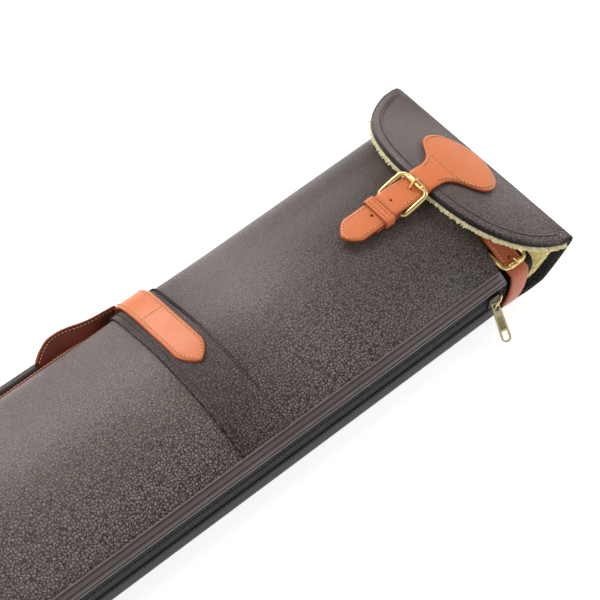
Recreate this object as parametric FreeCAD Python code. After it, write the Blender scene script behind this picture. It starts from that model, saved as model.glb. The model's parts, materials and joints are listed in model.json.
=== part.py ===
"""Soft leather cue case: a long flat sleeve, open at the mouth and closed by a buckled flap.

Units are millimetres. The case lies on its back on the plane z = 0.
+X runs along the case towards the mouth, +Y points to the handle side and the zip is on the -Y side.
The origin is on the resting plane, on the back panel, on the middle line of the mouth.
Every solid is one piece of the real case and is written to parts/<name>.step.
"""
import FreeCAD
import Part
import math
import os

V = FreeCAD.Vector

# ---- driving dimensions: the sleeve -------------------------------------------------------------------
BODY_LENGTH = 840.0        # mouth to closed end
ZIP_SIDE = 100.0           # distance of the zip side from the middle line
HANDLE_SIDE = 97.4         # distance of the folded side from the middle line, past the flared mouth
MOUTH_FLARE = 4.9          # the folded side swings out by this much at the mouth
FLARE_START = -200.0       # where the flare begins
TAPER_START = -236.0       # from here the folded side closes in
HANDLE_TAPER = 0.024       # by this much per millimetre
ZIP_EDGE_HEIGHT = 46.0     # top of the front leather at the zip side
SIDE_RADIUS = 24.0         # radius of the folded handle side
CROWN_MOUTH = 70.0         # highest point of the front near the mouth
CROWN_BODY = 66.0          # highest point of the front along the case
MOUTH_SKEW = 0.12          # the front's mouth edge runs forward by this much per millimetre of +Y
MOUTH_MIDDLE = 12.0        # x of the mouth edge on the middle line
SEAM_X = -280.5            # lower edge of the mouth sleeve, over the lower sleeve
OVERLAP = 44.0             # how far the lower sleeve runs on under the mouth sleeve
LEATHER = 2.2              # thickness of the body leather
FLEECE = 8.0               # thickness of the fleece lining
GAP = 0.2                  # space left between two layers
BACK_SKIM = 0.05           # taken off the back so that it is one flat face

# ---- driving dimensions: flap -------------------------------------------------------------------------
CREASE_X = 78.0            # fold line of the flap
ROOT_X = 12.0              # where the back panel begins to climb towards the fold
ROOT_ZIP_Y = -107.0        # zip-side edge of the back panel past the mouth
ROOT_HANDLE_Y = 110.0      # handle-side edge of the back panel past the mouth
CREASE_Z = 48.0            # height of the flap's hinge line
FLAP_REACH = 79.0          # fold line to the flap's free edge, on the middle line
FLAP_MIDDLE = 8.5          # y of the flap's middle line
FLAP_HALF = 116.0          # half width of the flap at the fold
FLAP_ROUNDING = 2.3        # exponent of the rounded flap outline
FLAP_RISE = 28.0           # how far the flap climbs from the fold to its free edge
FLAP_LEATHER = 2.4
FLAP_FLEECE = 3.6
BINDING_WIDTH = 9.0
BINDING = 1.2
NECK_X = 11.4              # where the flap's strap leaves the patch

# ---- driving dimensions: straps, buckles, zip, handle -------------------------------------------------
STRAP_Y = 9.0              # middle line of the flap's strap
BILLET_WIDTH = 27.0
MOUTH_STRAP_WIDTH = 20.0
MOUTH_STRAP_X = 18.5       # middle line of the mouth strap
STRAP_THICK = 2.4
ZIP_Z = 30.0               # height of the zip's middle line
BAIL_OUT = 4.8             # how far the bail's bar stands off the slider
ZIP_END_X = -822.0         # closed end of the zip
SLIDER_X = -12.5           # middle of the slider when the zip is shut
WRAP_NEAR_X = -257.0       # middle of the wrap nearest the mouth
WRAP_FAR_X = -585.0
WRAP_WIDTH = 28.0
WRAP_TIP_Y = -4.5          # tip of the wrap's tab on the front
WRAP_BULGE = 1.5           # how far the wrap's round stands outside the fold
GRIP_FIRST, GRIP_LAST = 7, 11        # points of the handle's path between which the grip lies

STATIONS = (TAPER_START, FLARE_START, -150.0, -100.0, -50.0, 0.0)   # where the sleeve's outline bends
DEEP = LEATHER + GAP       # how far the lower sleeve lies under the mouth sleeve
OUT = "parts"


# ---- small helpers ------------------------------------------------------------------------------------
def box(x0, x1, y0, y1, z0, z1):
    """A box between two corners."""
    return Part.makeBox(x1 - x0, y1 - y0, z1 - z0, V(x0, y0, z0))


def polygon(points):
    """A closed wire through the points."""
    return Part.makePolygon(list(points) + [points[0]])


def prism(points, direction):
    """The closed outline swept along a vector."""
    return Part.Face(polygon(points)).extrude(direction)


def loft(wires):
    """A closed solid through the wires, with straight sides between them."""
    return Part.makeLoft(wires, True, True)


def capsule(start, end, radius):
    """A round bar with round ends."""
    axis = end - start
    bar = Part.makeCylinder(radius, axis.Length, start, axis)
    return bar.fuse([Part.makeSphere(radius, start), Part.makeSphere(radius, end)])


def bent_bar(points, radius):
    """A round bar through the points, with a ball at each bend."""
    spans = [capsule(a, b, radius) for a, b in zip(points, points[1:])]
    return spans[0].multiFuse(spans[1:]).removeSplitter()


def ribbon(path, half_width, thickness):
    """A strap whose lower face follows path, a list of (u, w); it is extruded along v, the strap's width."""
    upper = []
    for i, (u, w) in enumerate(path):
        before = path[max(i - 1, 0)]
        after = path[min(i + 1, len(path) - 1)]
        du, dw = after[0] - before[0], after[1] - before[1]
        length = math.hypot(du, dw)
        upper.append((u - dw / length * thickness, w + du / length * thickness))
    outline = [V(u, -half_width, w) for u, w in path + upper[::-1]]
    return prism(outline, V(0, 2 * half_width, 0))


# ---- the sleeve's cross-section -----------------------------------------------------------------------
def crown(x):
    """Height of the front's highest line at station x."""
    rise = CROWN_MOUTH - CROWN_BODY
    return CROWN_BODY + rise * min(max((x + 200.0) / 100.0, 0.0), 1.0)


def handle_side(x):
    """y of the outermost line of the folded handle side."""
    flare = max(x - FLARE_START, 0.0) / -FLARE_START
    return HANDLE_SIDE + MOUTH_FLARE * flare ** 2 + HANDLE_TAPER * min(x - TAPER_START, 0.0)


def front_arc(x):
    """Centre (y, z) and radius of the front's arc, from the zip edge over the crown to the handle side."""
    ax, az = -ZIP_SIDE, ZIP_EDGE_HEIGHT
    bx, bz = -8.0, crown(x)
    cx, cz = handle_side(x) - SIDE_RADIUS, 2 * SIDE_RADIUS
    d = 2 * (ax * (bz - cz) + bx * (cz - az) + cx * (az - bz))
    a2, b2, c2 = ax * ax + az * az, bx * bx + bz * bz, cx * cx + cz * cz
    y = (a2 * (bz - cz) + b2 * (cz - az) + c2 * (az - bz)) / d
    z = (a2 * (cx - bx) + b2 * (ax - cx) + c2 * (bx - ax)) / d
    return y, z, math.hypot(ax - y, az - z)


def front_z(x, y):
    """Height of the front leather's outer face."""
    cy, cz, radius = front_arc(x)
    return cz + math.sqrt(radius ** 2 - (y - cy) ** 2)


def section(x, inset, zip_y=-ZIP_SIDE):
    """The filled sleeve outline at station x, pulled in by inset everywhere but at the zip side."""
    side = handle_side(x) - SIDE_RADIUS
    top_zip = V(x, zip_y, front_z(x, zip_y) - inset)
    top_side = V(x, side, 2 * SIDE_RADIUS - inset)
    low_side = V(x, side, inset)
    low_zip = V(x, zip_y, inset)
    front = Part.Arc(top_zip, V(x, -8.0, crown(x) - inset), top_side)
    fold = Part.Arc(top_side, V(x, side + SIDE_RADIUS - inset, SIDE_RADIUS), low_side)
    return Part.Wire([front.toShape(), fold.toShape(), Part.makeLine(low_side, low_zip),
                      Part.makeLine(low_zip, top_zip)])


def filled(x0, x1, inset, zip_y=-ZIP_SIDE):
    """The solid inside the sleeve outline between two stations."""
    stations = [x0] + [x for x in STATIONS if x0 + 0.01 < x < x1 - 0.01] + [x1]
    return loft([section(x, inset, zip_y) for x in stations])


def shell(x0, x1, outer, inner):
    """A sheet that follows the sleeve, open at the zip side and at both ends."""
    return filled(x0, x1, outer).cut(filled(x0 - 1, x1 + 1, inner, -ZIP_SIDE - 1))


def mouth_cut(solid, back):
    """Trims the front and the handle side to the slanted mouth edge, moved back by a distance."""
    reach = 150.0
    middle = MOUTH_MIDDLE - back
    low = LEATHER + 2
    outline = [V(middle - MOUTH_SKEW * reach, -reach, low), V(2 * reach, -reach, low),
               V(2 * reach, reach, low), V(middle + MOUTH_SKEW * reach, reach, low)]
    return solid.cut(prism(outline, V(0, 0, 100)))


def root_profile(inset):
    """(x, z) points of the back panel from the mouth up to the fold of the flap, raised by inset."""
    points = []
    for i in range(9):
        t = i / 8.0
        x = ROOT_X + (CREASE_X - ROOT_X - 3.0) * t ** 1.05
        z = 43.5 * t ** 1.9
        slope = math.atan2(43.5 * 1.9 * t ** 0.9, CREASE_X - ROOT_X - 3.0) if t > 0 else 0.0
        points.append((x - inset * math.sin(slope), z + inset * math.cos(slope)))
    return points


def root_sheet(bottom, top, y0, y1, first=0, last=9, x_start=None):
    """A sheet on the curved back panel between the mouth and the fold."""
    low = root_profile(bottom)[first:last]
    high = root_profile(top)[first:last]
    if x_start is not None:
        low = [(x_start, bottom)] + low
        high = [(x_start, top)] + high
    outline = [V(x, y0, z) for x, z in low + high[::-1]]
    return prism(outline, V(0, y1 - y0, 0))


# ---- soft body ----------------------------------------------------------------------------------------
def mouth_sleeve():
    """Upper body leather in one sheet: front, handle side, back, and the back panel up to the flap's fold.

    The sheet is lowered a little and skimmed at z = 0, so that the whole back is one flat face.
    """
    sheet = mouth_cut(shell(SEAM_X, 30.0, 0.0, LEATHER), 0.0)
    sheet.translate(V(0, 0, -BACK_SKIM))
    sheet = sheet.cut(box(SEAM_X - 1, 40.0, -150, 150, -1, 0))
    sheet = sheet.cut(box(ROOT_X, 40.0, -150, 150, -1, LEATHER + 3))
    root = root_sheet(0.0, LEATHER, ROOT_ZIP_Y, ROOT_HANDLE_Y, x_start=-20.0)
    root = root.cut(box(-21.0, 24.0, 80.0, 130.0, -1, 60)).cut(root_corner())
    return sheet.fuse([root]).removeSplitter()


def root_corner():
    """The space outside the slanted zip-side corner, where the back panel widens past the mouth."""
    side = -ZIP_SIDE + 1.0
    outline = [V(-25, -130, -1), V(-25, side, -1), V(14.0, side, -1), V(46.0, ROOT_ZIP_Y, -1),
               V(46.0, -130, -1)]
    return prism(outline, V(0, 0, 60))


def lower_sleeve():
    """Lower body leather, which runs on under the mouth sleeve as a tongue."""
    return shell(-BODY_LENGTH, SEAM_X + OVERLAP, DEEP, DEEP + LEATHER)


def fleece_lining():
    """Fleece glued inside both sleeves, with a step where the lower sleeve ends."""
    outer = DEEP
    lining = mouth_cut(shell(-BODY_LENGTH + 2, 28.0, outer, outer + LEATHER + FLEECE), 3.0)
    lining = lining.cut(filled_ring(-BODY_LENGTH, SEAM_X + OVERLAP + 0.5, DEEP - 1.0, 2 * DEEP + 0.1))
    return lining.cut(box(-900, 60, -120, -94.5, -5, 90)).cut(box(-4.0, 60, -150, 150, -5, LEATHER + 12))


def filled_ring(x0, x1, outer, inner):
    """A closed ring between two depths of the outline, used to clear a layer."""
    return filled(x0, x1, outer, -ZIP_SIDE - 5).cut(filled(x0 - 1, x1 + 1, inner, -ZIP_SIDE - 6))


def root_fleece():
    """Fleece on the inner face of the back panel, between the mouth and the fold."""
    pad = root_sheet(DEEP, DEEP + 7.0, ROOT_ZIP_Y + 10.0, ROOT_HANDLE_Y - 12.0, last=7, x_start=-3.5)
    return pad.cut(box(-4.0, 27.0, 72.0, 130.0, -1, 60)).cut(box(-4.0, 3.0, -130.0, -94.0, -1, 60))


def root_binding():
    """Dark leather strip along the zip-side edge of the back panel past the mouth, on its inner face."""
    return root_sheet(DEEP, DEEP + 1.2, ROOT_ZIP_Y, ROOT_ZIP_Y + 9.0, first=3).cut(root_corner())


def end_cap():
    """Flat leather end that closes the sleeve."""
    return filled(-BODY_LENGTH - 3.0, -BODY_LENGTH - 0.3, DEEP + LEATHER, -ZIP_SIDE + LEATHER)


def end_piping():
    """Rolled leather piping around the closed end."""
    outer = filled(-BODY_LENGTH - 3.6, -BODY_LENGTH - 0.3, DEEP)
    inner = filled(-BODY_LENGTH - 4.6, -BODY_LENGTH + 0.7, DEEP + LEATHER - 0.2, -ZIP_SIDE + 2.0)
    return outer.cut(inner)


def end_fleece():
    """Fleece pad on the inner face of the closed end."""
    pad = filled(-BODY_LENGTH + 0.2, -BODY_LENGTH + 7.0, DEEP + FLEECE + LEATHER + 0.4)
    return pad.cut(box(-900, -700, -120, -94.0, -5, 90))


# ---- zip side -----------------------------------------------------------------------------------------
def front_welt():
    """Smooth leather strip sewn along the front's zip edge and turned down over it."""
    outer = filled(-BODY_LENGTH, 0.0, -1.4, -ZIP_SIDE - 1.8)
    inner = filled(-BODY_LENGTH - 1, 1.0, -0.15, -ZIP_SIDE - 0.4)
    return outer.cut(inner).common(box(-900, 10, -110, -ZIP_SIDE + 8.5, 41.5, 90))


def back_welt():
    """Dark leather strip on the side, between the zip and the back."""
    return box(-BODY_LENGTH, -4.0, -ZIP_SIDE - 1.8, -ZIP_SIDE - 0.4, 0.4, 18.0)


def zip_tape(z0, z1):
    """Woven zip tape."""
    return box(ZIP_END_X - 8, 4.0, -ZIP_SIDE - 0.1, -ZIP_SIDE + 0.7, z0, z1)


def zip_coil(side):
    """One half of the coil chain: a rail with a tooth every three millimetres."""
    inner, outer = ZIP_Z + side * 0.7, ZIP_Z + side * 3.0
    z0, z1 = min(inner, outer), max(inner, outer)
    return box(ZIP_END_X, 1.2, -ZIP_SIDE - 1.3, -ZIP_SIDE + 1.6, z0, z1)


def zip_top_stops():
    """Two small brass stops at the mouth end of the coils."""
    return [box(1.5, 3.3, -ZIP_SIDE - 1.4, -ZIP_SIDE + 1.7, ZIP_Z + lo, ZIP_Z + hi)
            for lo, hi in ((1.2, 3.1), (-3.1, -1.2))]


def zip_bottom_stop():
    """Brass clip across both coils at the closed end."""
    return box(ZIP_END_X - 5.0, ZIP_END_X - 0.4, -ZIP_SIDE - 1.5, -ZIP_SIDE - 0.3, ZIP_Z - 3.4, ZIP_Z + 3.4)


def zip_end_tab():
    """Leather tab sewn over the closed end of the zip."""
    return box(-BODY_LENGTH + 1, ZIP_END_X - 5.4, -ZIP_SIDE - 1.7, -ZIP_SIDE - 0.3, 18.4, 41.2)


def slider_body():
    """Slider: outer and inner plate with turned lips, joined by a thin post between the coils."""
    x0, x1 = SLIDER_X - 6.5, SLIDER_X + 6.5
    half = 6.2
    outer = box(x0, x1, -ZIP_SIDE - 3.1, -ZIP_SIDE - 1.7, ZIP_Z - half, ZIP_Z + half)
    inner = box(x0, x1, -ZIP_SIDE + 2.0, -ZIP_SIDE + 3.4, ZIP_Z - half, ZIP_Z + half)
    post = box(x1 - 5, x1 - 0.5, -ZIP_SIDE - 2, -ZIP_SIDE + 2.5, ZIP_Z - 0.45, ZIP_Z + 0.45)
    lips = []
    for lo in (ZIP_Z - half, ZIP_Z + half - 1.0):
        lips.append(box(x0, x1, -ZIP_SIDE - 2.0, -ZIP_SIDE - 0.5, lo, lo + 1.0))
        lips.append(box(x0, x1, -ZIP_SIDE + 1.1, -ZIP_SIDE + 2.2, lo, lo + 1.0))
    return outer.fuse([inner, post] + lips).removeSplitter()


def bail_points():
    """The bail's middle line: an upper arm along the slider, the bar under the pull's eye, a lower arm."""
    root = -ZIP_SIDE - 3.2
    out = [(6.0, -0.8, 4.6), (3.5, 1.4, 5.0), (0.5, 3.0, 5.2), (-3.0, BAIL_OUT, 4.6), (-3.0, BAIL_OUT, -4.4),
           (-3.0, -0.8, -4.4)]
    return [V(SLIDER_X + dx, root - dy, ZIP_Z + dz) for dx, dy, dz in out]


def slider_bail():
    """Brass arch on the slider that carries the pull."""
    return bent_bar(bail_points(), 0.75)


def puller_frame():
    """Eye centre, and the pull's length, width and normal directions as it lies beside the case."""
    eye = V(SLIDER_X - 3.0, -ZIP_SIDE - 3.2 - BAIL_OUT, ZIP_Z)
    along = V(-0.095, -0.64, -0.76)
    along.normalize()
    normal = V(-0.43, -0.64, 0.64)
    normal = normal - along * normal.dot(along)
    normal.normalize()
    across = along.cross(normal)
    return eye, along, across, normal


def zip_puller():
    """Long brass pull with an open eye at the bail and a rounded slot at its free end."""
    length, half, thick = 39.5, 4.6, 1.6
    neck = 3.4
    outline = [V(-3.8, -neck, 0), V(-3.8, neck, 0), V(8.0, half - 0.6, 0), V(length - 11, half, 0)]
    outline += [V(length - 4.5 - half + half * math.cos(a), half * math.sin(a), 0)
                for a in [math.radians(d) for d in (75, 50, 25, 0, -25, -50, -75)]]
    outline += [V(length - 11, -half, 0), V(8.0, -half + 0.6, 0)]
    plate = prism(outline, V(0, 0, thick))
    plate.translate(V(0, 0, -thick / 2))
    eye = prism([V(-2.4, -2.1, -2), V(-2.4, 2.1, -2), V(1.6, 2.4, -2), V(5.8, 0, -2), V(1.6, -2.4, -2)],
                V(0, 0, 4))
    slot = box(length - 15.5, length - 8.5, -2.6, 2.6, -2, 2)
    slot = slot.fuse([Part.makeCylinder(2.6, 4, V(length - 8.5, 0, -2))])
    recess = box(9.5, length - 18.0, -2.7, 2.7, thick / 2 - 0.5, 3)
    pull = plate.cut(eye).cut(slot).cut(recess)
    eye_point, along, across, normal = puller_frame()
    matrix = FreeCAD.Matrix(along.x, across.x, normal.x, eye_point.x,
                            along.y, across.y, normal.y, eye_point.y,
                            along.z, across.z, normal.z, eye_point.z, 0, 0, 0, 1)
    return pull.transformGeometry(matrix)


# ---- flap ---------------------------------------------------------------------------------------------
def flap_edge(y):
    """x of the flap's free edge at y."""
    t = min(abs(y - FLAP_MIDDLE) / FLAP_HALF, 1.0)
    return CREASE_X - FLAP_REACH * (1.0 - t ** FLAP_ROUNDING) ** (1.0 / FLAP_ROUNDING)


def flap_z(x, y):
    """Height of the flap's outer face: it climbs from the fold and drops towards both sides."""
    t = (y - FLAP_MIDDLE) / FLAP_HALF
    drop = 1.0 if t > 0 else 0.41
    share = min(max((CREASE_X - x) / FLAP_REACH, 0.0), 1.1)
    return CREASE_Z + 2.2 + FLAP_RISE * (1.0 - drop * t * t) * math.sin(math.pi / 2 * min(share, 1.0))


def flap_slab(top, bottom, margin, x_max, stations=17, half=FLAP_HALF - 2.5):
    """A sheet under the flap's outer face, between two depths, set in from the free edge by margin."""
    wires = []
    for i in range(stations):
        y = FLAP_MIDDLE + half * math.sin(math.pi / 2 * (-1 + 2 * i / (stations - 1.0)))
        x_min = flap_edge(y) + margin
        xs = [x_max + (x_min - x_max) * k / 5.0 for k in range(6)]
        upper = [V(x, y, flap_z(x, y) - top) for x in xs]
        lower = [V(x, y, flap_z(x, y) - bottom) for x in xs[::-1]]
        wires.append(polygon(upper + lower))
    return loft(wires)


def flap_panel():
    """Outer leather of the flap."""
    return flap_slab(0.0, FLAP_LEATHER, 0.0, CREASE_X - 1.2)


def flap_fleece():
    """Fleece on the flap's inner face."""
    top = FLAP_LEATHER + 2 * GAP
    return flap_slab(top, top + FLAP_FLEECE, 2.0, CREASE_X - 13.0, half=FLAP_HALF - 7.0)


def flap_binding():
    """Leather strip sewn on top along the flap's rounded free edge."""
    wires = []
    count = 25
    for i in range(count):
        a = math.pi * (0.06 + 0.88 * i / (count - 1.0))
        power = 2.0 / FLAP_ROUNDING
        y = FLAP_MIDDLE + FLAP_HALF * math.copysign(abs(math.cos(a)) ** power, math.cos(a)) * 0.995
        x = flap_edge(y) + 0.3
        nx = math.sin(a) / FLAP_REACH
        ny = -math.cos(a) / FLAP_HALF
        size = math.hypot(nx, ny)
        inner_x = min(x + BINDING_WIDTH * nx / size, CREASE_X - 1.2)
        inner_y = y + BINDING_WIDTH * ny / size
        wires.append(polygon([V(x, y, flap_z(x, y) + GAP), V(inner_x, inner_y, flap_z(inner_x, inner_y) + GAP),
                              V(inner_x, inner_y, flap_z(inner_x, inner_y) + GAP + BINDING),
                              V(x, y, flap_z(x, y) + GAP + BINDING)]))
    return loft(wires)


def patch_outline():
    """Bell outline of the tan patch: a neck as wide as the strap, flared to a rounded top."""
    half_neck = BILLET_WIDTH / 2
    side = [(NECK_X, half_neck), (18.0, half_neck + 1.5), (25.0, half_neck + 7.0), (30.0, half_neck + 14.5),
            (35.0, 35.5), (40.0, 39.5), (46.0, 41.0), (53.0, 39.0), (60.0, 33.0), (65.0, 24.5), (68.5, 13.5),
            (70.0, 0.0)]
    mirrored = [(x, -y) for x, y in side[-2::-1]]
    return [V(x, STRAP_Y + y, 0) for x, y in side + mirrored]


def flap_patch():
    """Tan leather patch that spreads the strap's pull over the flap."""
    lift = GAP + BINDING + GAP
    slab = []
    for y in [STRAP_Y - 42 + 7 * i for i in range(13)]:
        xs = [72.0 - 10.6 * k for k in range(7)]
        upper = [V(x, y, flap_z(x, y) + lift + STRAP_THICK) for x in xs]
        lower = [V(x, y, flap_z(x, y) + lift) for x in xs[::-1]]
        slab.append(polygon(upper + lower))
    column = prism(patch_outline(), V(0, 0, 120))
    return loft(slab).common(column)


# ---- buckles ------------------------------------------------------------------------------------------
class Buckle:
    """One roller buckle with its chape and keeper.

    Local axes: u from the heel bar to the roller bar, v across the strap, w up from the surface it lies on.
    The heel bar is at u = 0.
    """

    def __init__(self, strap_width, length, wire, scale, roller_height):
        self.half = strap_width / 2
        self.length = length
        self.wire = wire
        self.k = scale
        self.heel_w = (GAP + STRAP_THICK + 0.1 * scale) + wire
        self.roller_r = wire * 1.6
        self.roller_w = roller_height

    def frame(self):
        """Wire frame: one closed round bar, with wide corners at the roller and tight ones at the heel."""
        half = self.half + 1.2 + self.wire
        rise = self.roller_w - self.heel_w
        reach = math.hypot(self.length, rise)
        wide, tight = 6.0 * self.k, 2.8 * self.k
        corners = [(reach - wide, half - wide, wide, 0), (tight, half - tight, tight, 90),
                   (tight, tight - half, tight, 180), (reach - wide, wide - half, wide, 270)]
        arcs = []
        for u, v, radius, first in corners:
            angles = [math.radians(first + step) for step in (0, 45, 90)]
            arcs.append([V(u + radius * math.cos(a), v + radius * math.sin(a), 0) for a in angles])
        edges = []
        for arc, following in zip(arcs, arcs[1:] + arcs[:1]):
            edges += [Part.Arc(*arc).toShape(), Part.makeLine(arc[-1], following[0])]
        wire_section = Part.Face(Part.Wire(Part.makeCircle(self.wire, arcs[0][0], V(0, 1, 0))))
        ring = Part.Wire(edges).makePipe(wire_section)
        ring.rotate(V(0, 0, 0), V(0, 1, 0), -math.degrees(math.atan2(rise, self.length)))
        ring.translate(V(0, 0, self.heel_w))
        return ring

    def roller(self):
        """Brass tube that turns on the roller bar."""
        half = self.half * 0.72
        start = V(self.length, -half, self.roller_w)
        tube = Part.makeCylinder(self.roller_r, 2 * half, start, V(0, 1, 0))
        return tube.cut(Part.makeCylinder(self.wire + 0.08, 2 * half + 2, start - V(0, 1, 0), V(0, 1, 0)))

    def prong(self):
        """Tongue of the buckle: an eye on the heel bar, a run under the strap and a tip on the roller."""
        r = 1.0 * self.k
        eye_r = self.wire + 0.08
        eye = Part.makeCylinder(eye_r + 1.1 * self.k, 3.0, V(0, -1.5, self.heel_w), V(0, 1, 0))
        low = V(eye_r + 0.7, 0, self.heel_w + 0.3)
        bend = V(self.length - 12.0 * self.k, 0, self.heel_w + 0.6 * self.k)
        top_w = self.roller_w + self.roller_r + r + 0.35
        rest = V(self.length - 2.6, 0, top_w)
        tip = V(self.length + 2.4 * self.k, 0, top_w - 0.2)
        arm = bent_bar([low, bend, rest, tip], r)
        solid = arm.fuse([eye])
        return solid.cut(Part.makeCylinder(eye_r, 6.0, V(0, -3.0, self.heel_w), V(0, 1, 0)))

    def chape(self, tail):
        """Leather loop that holds the heel bar, slotted for the prong and sewn down behind it."""
        inner = self.wire + 0.1
        outer = inner + STRAP_THICK * 0.8
        half = self.half
        loop = Part.makeCylinder(outer, 2 * half, V(0, -half, self.heel_w), V(0, 1, 0))
        base = box(-tail, 0, -half, half, GAP, GAP + STRAP_THICK)
        high = GAP + 2 * STRAP_THICK
        ramp = prism([V(-outer, -half, GAP), V(0, -half, self.heel_w - outer), V(0, -half, self.heel_w + outer),
                      V(-9, -half, high), V(-tail, -half, high), V(-tail, -half, GAP)], V(0, 2 * half, 0))
        solid = loop.fuse([base, ramp])
        solid = solid.common(box(-tail, outer, -half, half, GAP, 40))
        solid = solid.cut(Part.makeCylinder(inner, 2 * half + 2, V(0, -half - 1, self.heel_w), V(0, 1, 0)))
        slot = box(-outer - 1.0, outer + 1, -2.2, 2.2, 0, 40)
        return solid.cut(slot).removeSplitter()

    def strap_path(self, tip, after):
        """(u, w) points of the strap's lower face from its tip, over the heel bar and under the roller."""
        over_heel = self.heel_w + self.wire + 0.1 + STRAP_THICK * 0.8 + 0.2
        rest = GAP + 2 * STRAP_THICK + 0.2
        under_roller = self.roller_w - self.roller_r - 0.25 - STRAP_THICK
        path = [(tip, rest - 1.2), (-30.0 * self.k, rest), (-8.5 * self.k, rest + 0.4), (-3.5, over_heel)]
        path += [(3.0, over_heel), (self.length - 5.0, under_roller + 0.3), (self.length + 1.5, under_roller)]
        return path + after

    def keeper(self, position, width, path_w):
        """Leather keeper: a flat ring around the strap, standing on the chape."""
        half = self.half + 0.5
        wall = 1.5 * self.k
        high = path_w + STRAP_THICK + 0.4
        outer = box(position - width, position, -half - wall, half + wall, GAP, high + wall)
        return outer.cut(box(position - width - 1, position + 1, -half, half, -1, high))

    def holes(self, strap, spacing, count):
        """Cuts the prong's hole and the spare holes into a strap."""
        used = self.length - 7.2 * self.k
        strap = strap.cut(box(used - 5.0 * self.k, used + 4.0 * self.k, -1.6, 1.6, -60, 60))
        for i in range(1, count):
            strap = strap.cut(Part.makeCylinder(1.4, 40, V(used - spacing * i, 0, -5), V(0, 0, 1)))
        return strap


def place(shape, origin, turn, dip=0.0):
    """Moves a buckle piece from its local axes into the case: nose dipped, turned about z, then moved."""
    moved = shape.copy()
    moved.rotate(V(0, 0, 0), V(0, 1, 0), dip)
    moved.rotate(V(0, 0, 0), V(0, 0, 1), turn)
    moved.translate(origin)
    return moved


FLAP_BUCKLE = Buckle(BILLET_WIDTH, 29.0, 1.8, 1.0, 12.6)
FLAP_BUCKLE_AT = V(-36.0, STRAP_Y, CROWN_MOUTH)
MOUTH_BUCKLE = Buckle(MOUTH_STRAP_WIDTH, 27.0, 1.6, 0.9, 9.9)
MOUTH_BUCKLE_AT = V(MOUTH_STRAP_X, -66.0, 48.0)
MOUTH_BUCKLE_DIP = 16.0    # the small buckle slopes down towards the zip side


def flap_buckle_parts():
    """Pieces of the buckle on the front of the case, for the flap's strap."""
    b = FLAP_BUCKLE
    at, turn = FLAP_BUCKLE_AT, 0.0
    clear = 2 * GAP + BINDING + 0.1
    on_flap = [(x - at.x, flap_z(x, STRAP_Y) + clear - at.z) for x in (-1.5, 4.0, NECK_X - 2.6)]
    path = b.strap_path(-54.0, on_flap)
    strap = ribbon(path, b.half, STRAP_THICK)
    knuckle_u, knuckle_w = on_flap[-1]
    knuckle = V(knuckle_u, -b.half, knuckle_w + STRAP_THICK / 2)
    strap = strap.fuse([Part.makeCylinder(STRAP_THICK / 2, 2 * b.half, knuckle, V(0, 1, 0))])
    strap = b.holes(strap, 22.0, 3)
    tip = prism([V(-60, -20, -5), V(-60, 20, -5), V(-36, 20, -5), V(-44, b.half, -5), V(-54, 4, -5),
                 V(-54, -4, -5), V(-44, -b.half, -5), V(-36, -20, -5)], V(0, 0, 40))
    strap = strap.cut(tip)
    rest = GAP + 2 * STRAP_THICK + 0.2
    return {
        "flap_buckle_frame": place(b.frame(), at, turn),
        "flap_buckle_roller": place(b.roller(), at, turn),
        "flap_buckle_prong": place(b.prong(), at, turn),
        "flap_buckle_chape": place(b.chape(27.0), at, turn),
        "flap_buckle_keeper": place(b.keeper(-8.0, 10.5, rest + 1.2), at, turn),
        "flap_strap": place(strap, at, turn),
    }


def mouth_strap_root():
    """Sewn end of the mouth strap: it wraps the zip side and leans away from the mouth on its way down."""
    side = [(100.4, 41.8), (101.8, 37.0), (102.6, 30.0), (102.8, 22.0), (102.0, 13.0), (99.9, 4.6)]
    strap = place(ribbon(side, MOUTH_BUCKLE.half, STRAP_THICK), V(MOUTH_STRAP_X, 0, 0), -90.0)
    lean = 0.17
    shear = FreeCAD.Matrix(1, 0, lean, -lean * side[0][1], 0, 1, 0, 0, 0, 0, 1, 0, 0, 0, 0, 1)
    return strap.transformGeometry(shear)


def mouth_buckle_parts():
    """Pieces of the small buckle at the zip-side corner of the mouth; its u axis points to -Y."""
    b = MOUTH_BUCKLE
    bend = (31.5, b.roller_w - b.roller_r - 0.25 - STRAP_THICK)
    strap = ribbon(b.strap_path(-44.0, [bend]), b.half, STRAP_THICK)
    knuckle = V(bend[0], -b.half, bend[1] + STRAP_THICK / 2)
    strap = strap.fuse([Part.makeCylinder(STRAP_THICK / 2, 2 * b.half, knuckle, V(0, 1, 0))])
    rest = GAP + 2 * STRAP_THICK + 0.2
    pieces = {
        "mouth_buckle_frame": b.frame(),
        "mouth_buckle_roller": b.roller(),
        "mouth_buckle_prong": b.prong(),
        "mouth_buckle_chape": b.chape(24.0),
        "mouth_buckle_keeper": b.keeper(-11.0, 9.0, rest + 1.2),
        "mouth_strap": b.holes(strap, 20.0, 2),
    }
    return {name: place(shape, MOUTH_BUCKLE_AT, -90.0, MOUTH_BUCKLE_DIP) for name, shape in pieces.items()}


def mouth_tongue():
    """Black leather tongue that closes the zip-side corner of the mouth under the mouth strap."""
    x0, x1 = 4.4, 40.0
    upright = box(x0, x1, -98.6, -97.2, 12.0, 38.0)
    corner = Part.makeCylinder(16.0, 4.0, V(x1 - 16.0, -100.0, 28.0), V(0, 1, 0))
    keep = box(x0, x1 - 16.0, -100, -96, 12.0, 45.0).fuse([box(x0, x1, -100, -96, 28.0, 45.0), corner])
    slope = [(-98.6, 36.7), (-40.0, 53.45), (-40.0, 55.15), (-98.6, 38.4)]
    top = prism([V(x0, y, z) for y, z in slope], V(x1 - x0, 0, 0))
    return upright.common(keep).fuse([top]).removeSplitter()


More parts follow.
